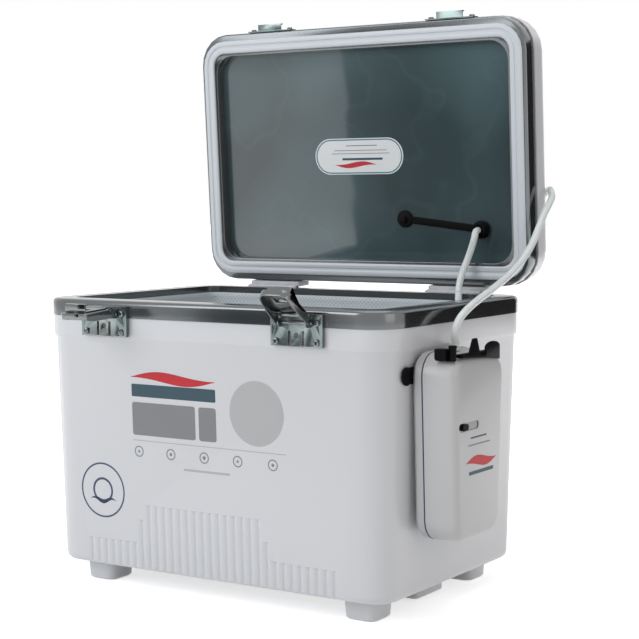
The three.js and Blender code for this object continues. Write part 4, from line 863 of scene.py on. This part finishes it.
def inkPiece(name, maker, placer, finish, body):
    s = inkSettings
    maker()
    obj = bpy.context.object
    obj.name = name
    bpy.ops.object.transform_apply(location=True, rotation=True, scale=True)
    low = min(v.co.z for v in obj.data.vertices)
    for vertex in obj.data.vertices:
        top = vertex.co.z - low > 0.5
        vertex.co = placer(vertex.co.x, vertex.co.y, s["lift"] + (s["thick"] if top else 0.0))
    only(obj)
    bpy.ops.object.mode_set(mode="EDIT")
    bpy.ops.mesh.select_all(action="SELECT")
    bpy.ops.mesh.normals_make_consistent(inside=False)
    bpy.ops.object.mode_set(mode="OBJECT")
    attach(obj, finish, body)


# Flat makers: each gives a shape one unit thick, and inkPiece lays it on its wall
def bar(x0, x1, y0, y1, corner=0.0):
    def maker():
        obj = addPiece(bpy.ops.mesh.primitive_cube_add, size=1.0)
        obj.scale = (x1 - x0, y1 - y0, 1.0)
        bpy.ops.object.transform_apply(location=True, rotation=True, scale=True)
        if corner:
            rounding = obj.modifiers.new("corner", "BEVEL")
            rounding.width = corner
            rounding.segments = inkSettings["cornerSteps"]
            rounding.limit_method = "WEIGHT"
            weights = obj.data.attributes.new("bevel_weight_edge", "FLOAT", "EDGE")
            for edge in obj.data.edges:
                a, b = (obj.data.vertices[i].co for i in edge.vertices)
                weights.data[edge.index].value = 1.0 if abs(a.z - b.z) > 0.5 else 0.0
            applyAll(obj)
        for vertex in obj.data.vertices:
            vertex.co.x += (x0 + x1) / 2
            vertex.co.y += (y0 + y1) / 2
    return maker


def disc(x, y, radius, sides=48):
    def maker():
        obj = addPiece(bpy.ops.mesh.primitive_cylinder_add, vertices=sides, radius=radius, depth=1.0)
        for vertex in obj.data.vertices:
            vertex.co.x += x
            vertex.co.y += y
    return maker


# The outer shape with the inner one cut through it
def outline(outer, inner):
    def maker():
        outer()
        obj = bpy.context.object
        inner()
        cutter = bpy.context.object
        for vertex in cutter.data.vertices:
            vertex.co.z *= inkSettings["cutterTall"]
        only(obj)
        cutOut(obj, cutter)
    return maker


def hoop(x, y, outer, inner, sides=64):
    return outline(disc(x, y, outer, sides), disc(x, y, inner, sides))


def roundLine(x0, x1, y0, y1, corner, line):
    inside = bar(x0 + line, x1 - line, y0 + line, y1 - line, corner - line)
    return outline(bar(x0, x1, y0, y1, corner), inside)


# A bar bent to a sine, thin at both ends
def wave(x0, x1, y, tall, swing, cycles):
    def maker():
        tip = inkSettings["waveTip"]
        obj = addPiece(
            bpy.ops.mesh.primitive_grid_add,
            x_subdivisions=inkSettings["waveSteps"], y_subdivisions=1, size=1.0,
        )
        for vertex in obj.data.vertices:
            share = vertex.co.x + 0.5
            vertex.co.x = x0 + (x1 - x0) * share
            taper = math.sin(math.pi * min(max(share, tip), 1 - tip))
            vertex.co.y = y + vertex.co.y * tall * taper + swing * math.sin(share * math.tau * cycles)
        solid = obj.modifiers.new("thick", "SOLIDIFY")
        solid.thickness = 1.0
        applyAll(obj)
    return maker


frontPrints = [
    ("bannerWave", wave(-104, 14, 251, 12, 2.4, 1.0), "printRed"),
    ("bannerBar", bar(-104, 15, 228.5, 243.0, 1.5), "printTeal"),
    ("bannerBlock", bar(-104, -14, 184, 222, 3.0), "printGrey"),
    ("bannerBlockEnd", bar(-9, 15, 184, 222, 3.0), "printGrey"),
    ("bannerRule", bar(-104, 108, 177.4, 178.2), "printPale"),
    ("bannerStrip", bar(-32, 32, 148.0, 150.4, 1.0), "printPale"),
    ("spotDisc", disc(70, 220, 36), "printPale"),
    ("badgeRing", hoop(-152.5, 114.5, 32.5, 30.6), "printNavy"),
    ("badgeRingInner", hoop(-152.5, 114.5, 15.0, 12.4), "printNavy"),
    ("badgeWave", wave(-172, -133, 103, 5, 2.0, 1.5), "printNavy"),
]
markSettings = {"places": (-96, -50, -3, 43, 90), "z": 165, "ring": (6.4, 5.2), "dot": 1.6, "dotStep": 0.5}
for i, x in enumerate(markSettings["places"]):
    z = markSettings["z"]
    dot = markSettings["dot"] + markSettings["dotStep"] * (i % 3)
    frontPrints.append((f"roundMark{i + 1}", hoop(x, z, *markSettings["ring"]), "printGrey"))
    frontPrints.append((f"roundMarkDot{i + 1}", disc(x, z, dot, 6 - i % 3), "printGrey"))
pumpPrints = [
    ("pumpRuleHigh", bar(-80, -44, 199.4, 201.2, 0.5), "printNavy"),
    ("pumpRuleLow", bar(-86, -36, 191.8, 193.2, 0.5), "printGrey"),
    ("pumpBand", wave(-90, -22, 174, 11, 2.0, 1.0), "printRed"),
    ("pumpBandBar", bar(-84, -28, 160.6, 164.4, 1.0), "printTeal"),
]
labelPrints = [
    ("labelOutline", roundLine(-69.5, 58.5, -20.4, 23.2, 21.6, 1.5), "printAqua"),
    ("labelWave", wave(-41, 20, 12, 6.5, 1.6, 1.0), "printRed"),
    ("labelBar", bar(-30, 30, 3.4, 6.2, 0.8), "printTeal"),
    ("labelLineA", bar(-46, 40, -2.6, -1.8), "printGrey"),
    ("labelLineB", bar(-42, 36, -6.6, -5.8), "printGrey"),
    ("labelLineC", bar(-24, 22, -12.6, -11.8), "printTeal"),
]
for prints, placer, body in (
    (frontPrints, frontSpot, "box"), (pumpPrints, pumpSpot, "box"), (labelPrints, labelSpot, "lid"),
):
    for name, maker, finish in prints:
        inkPiece(name, maker, placer, finish, body)
print("prints")


# Light
def seenRays(tree):
    rays = tree.nodes.new("ShaderNodeLightPath")
    seen = mathNode(tree, "MAXIMUM", rays.outputs["Is Camera Ray"], rays.outputs["Is Glossy Ray"])
    return mathNode(tree, "MAXIMUM", seen, rays.outputs["Is Transmission Ray"])


worldSettings = {"ambient": 0.51, "seen": 1.0}
world = bpy.data.worlds.new("studio")
scene.world = world
world.use_nodes = True
sky = world.node_tree
skyBack = sky.nodes["Background"]
skyBack.inputs["Color"].default_value = (1.0, 1.0, 1.0, 1.0)
lift = worldSettings["seen"] - worldSettings["ambient"]
strength = mathNode(sky, "MULTIPLY_ADD", seenRays(sky), lift, worldSettings["ambient"])
sky.links.new(strength, skyBack.inputs["Strength"])

# Lamps in metres: place, the point each looks at, width, watts and colour
lampSettings = [
    ("keyFront", (-1.3, -2.3, 1.7), (0.0, 0.0, 0.25), 1.6, 32.0, (0.94, 0.97, 1.0)),
    ("fillRight", (2.3, -0.5, 1.0), (0.2, 0.0, 0.2), 1.2, 4.5, (1.0, 0.89, 0.82)),
    ("topSoft", (0.1, 0.1, 2.6), (0.0, 0.0, 0.2), 1.8, 12.0, (1.0, 1.0, 1.0)),
]
for name, place, aim, size, power, tint in lampSettings:
    data = bpy.data.lights.new(name, "AREA")
    data.shape = "SQUARE"
    data.size = size
    data.energy = power
    data.color = tint
    lamp = bpy.data.objects.new(name, data)
    scene.collection.objects.link(lamp)
    lamp.location = place
    lamp.rotation_mode = "QUATERNION"
    lamp.rotation_quaternion = (Vector(aim) - Vector(place)).to_track_quat("-Z", "Y")


# A matt material for the stage, with a glow of its own
def stagePaint(name, colour, glow):
    material = bpy.data.materials.new(name)
    material.use_nodes = True
    shader = material.node_tree.nodes["Principled BSDF"]
    shader.inputs["Base Color"].default_value = (*colour, 1.0)
    shader.inputs["Specular IOR Level"].default_value = 0.0
    shader.inputs["Emission Color"].default_value = (*glow, 1.0)
    return material, shader


# Floor: white to the eye and in reflections, with the shadow kept close to the box
floorSettings = {
    "size": 40.0, "low": -0.0002, "colour": 0.90, "rough": 0.9, "near": 0.30, "far": 0.85, "lift": 0.62,
}
floor = addPiece(
    bpy.ops.mesh.primitive_plane_add, size=floorSettings["size"], location=(0, 0, floorSettings["low"]),
)
floor.name = "studioFloor"
bpy.ops.object.transform_apply(location=True)
floorPaint, floorShader = stagePaint("floorWhite", [floorSettings["colour"]] * 3, (1.0, 1.0, 1.0))
floorShader.inputs["Roughness"].default_value = floorSettings["rough"]
ground = floorPaint.node_tree
reach = ground.nodes.new("ShaderNodeVectorMath")
reach.operation = "LENGTH"
ground.links.new(coordinates(ground, "Object"), reach.inputs[0])
fade = ground.nodes.new("ShaderNodeMapRange")
fade.interpolation_type = "SMOOTHSTEP"
fade.inputs["From Min"].default_value = floorSettings["near"]
fade.inputs["From Max"].default_value = floorSettings["far"]
fade.inputs["To Min"].default_value = floorSettings["lift"]
fade.inputs["To Max"].default_value = 1.0
ground.links.new(reach.outputs["Value"], fade.inputs["Value"])
glow = mathNode(ground, "MULTIPLY", fade.outputs["Result"], seenRays(ground))
ground.links.new(glow, floorShader.inputs["Emission Strength"])
floor.data.materials.append(floorPaint)

# Dark cards seen only in reflections: middle, width, height and tone
cardSettings = [
    ("cardFront", (-0.95, -1.85, 0.60), 0.60, 1.2, (0.030, 0.042, 0.042)),
    ("cardBehind", (1.28, 1.98, 0.60), 2.1, 1.3, (0.012, 0.010, 0.008)),
]
for name, middle, wide, tall, tone in cardSettings:
    card = addPiece(bpy.ops.mesh.primitive_plane_add, size=1.0)
    card.name = name
    facing = Vector((-middle[0], -middle[1], 0.0)).to_track_quat("Z", "Y").to_matrix().to_4x4()
    card.data.transform(Matrix.Translation(middle) @ facing @ Matrix.Diagonal((wide, tall, 1.0, 1.0)))
    cardPaint, cardShader = stagePaint(name, (0.0, 0.0, 0.0), tone)
    cardShader.inputs["Emission Strength"].default_value = 1.0
    card.data.materials.append(cardPaint)
    card.visible_camera = False
    card.visible_diffuse = False
    card.visible_transmission = False
    card.visible_shadow = False
print("stage")
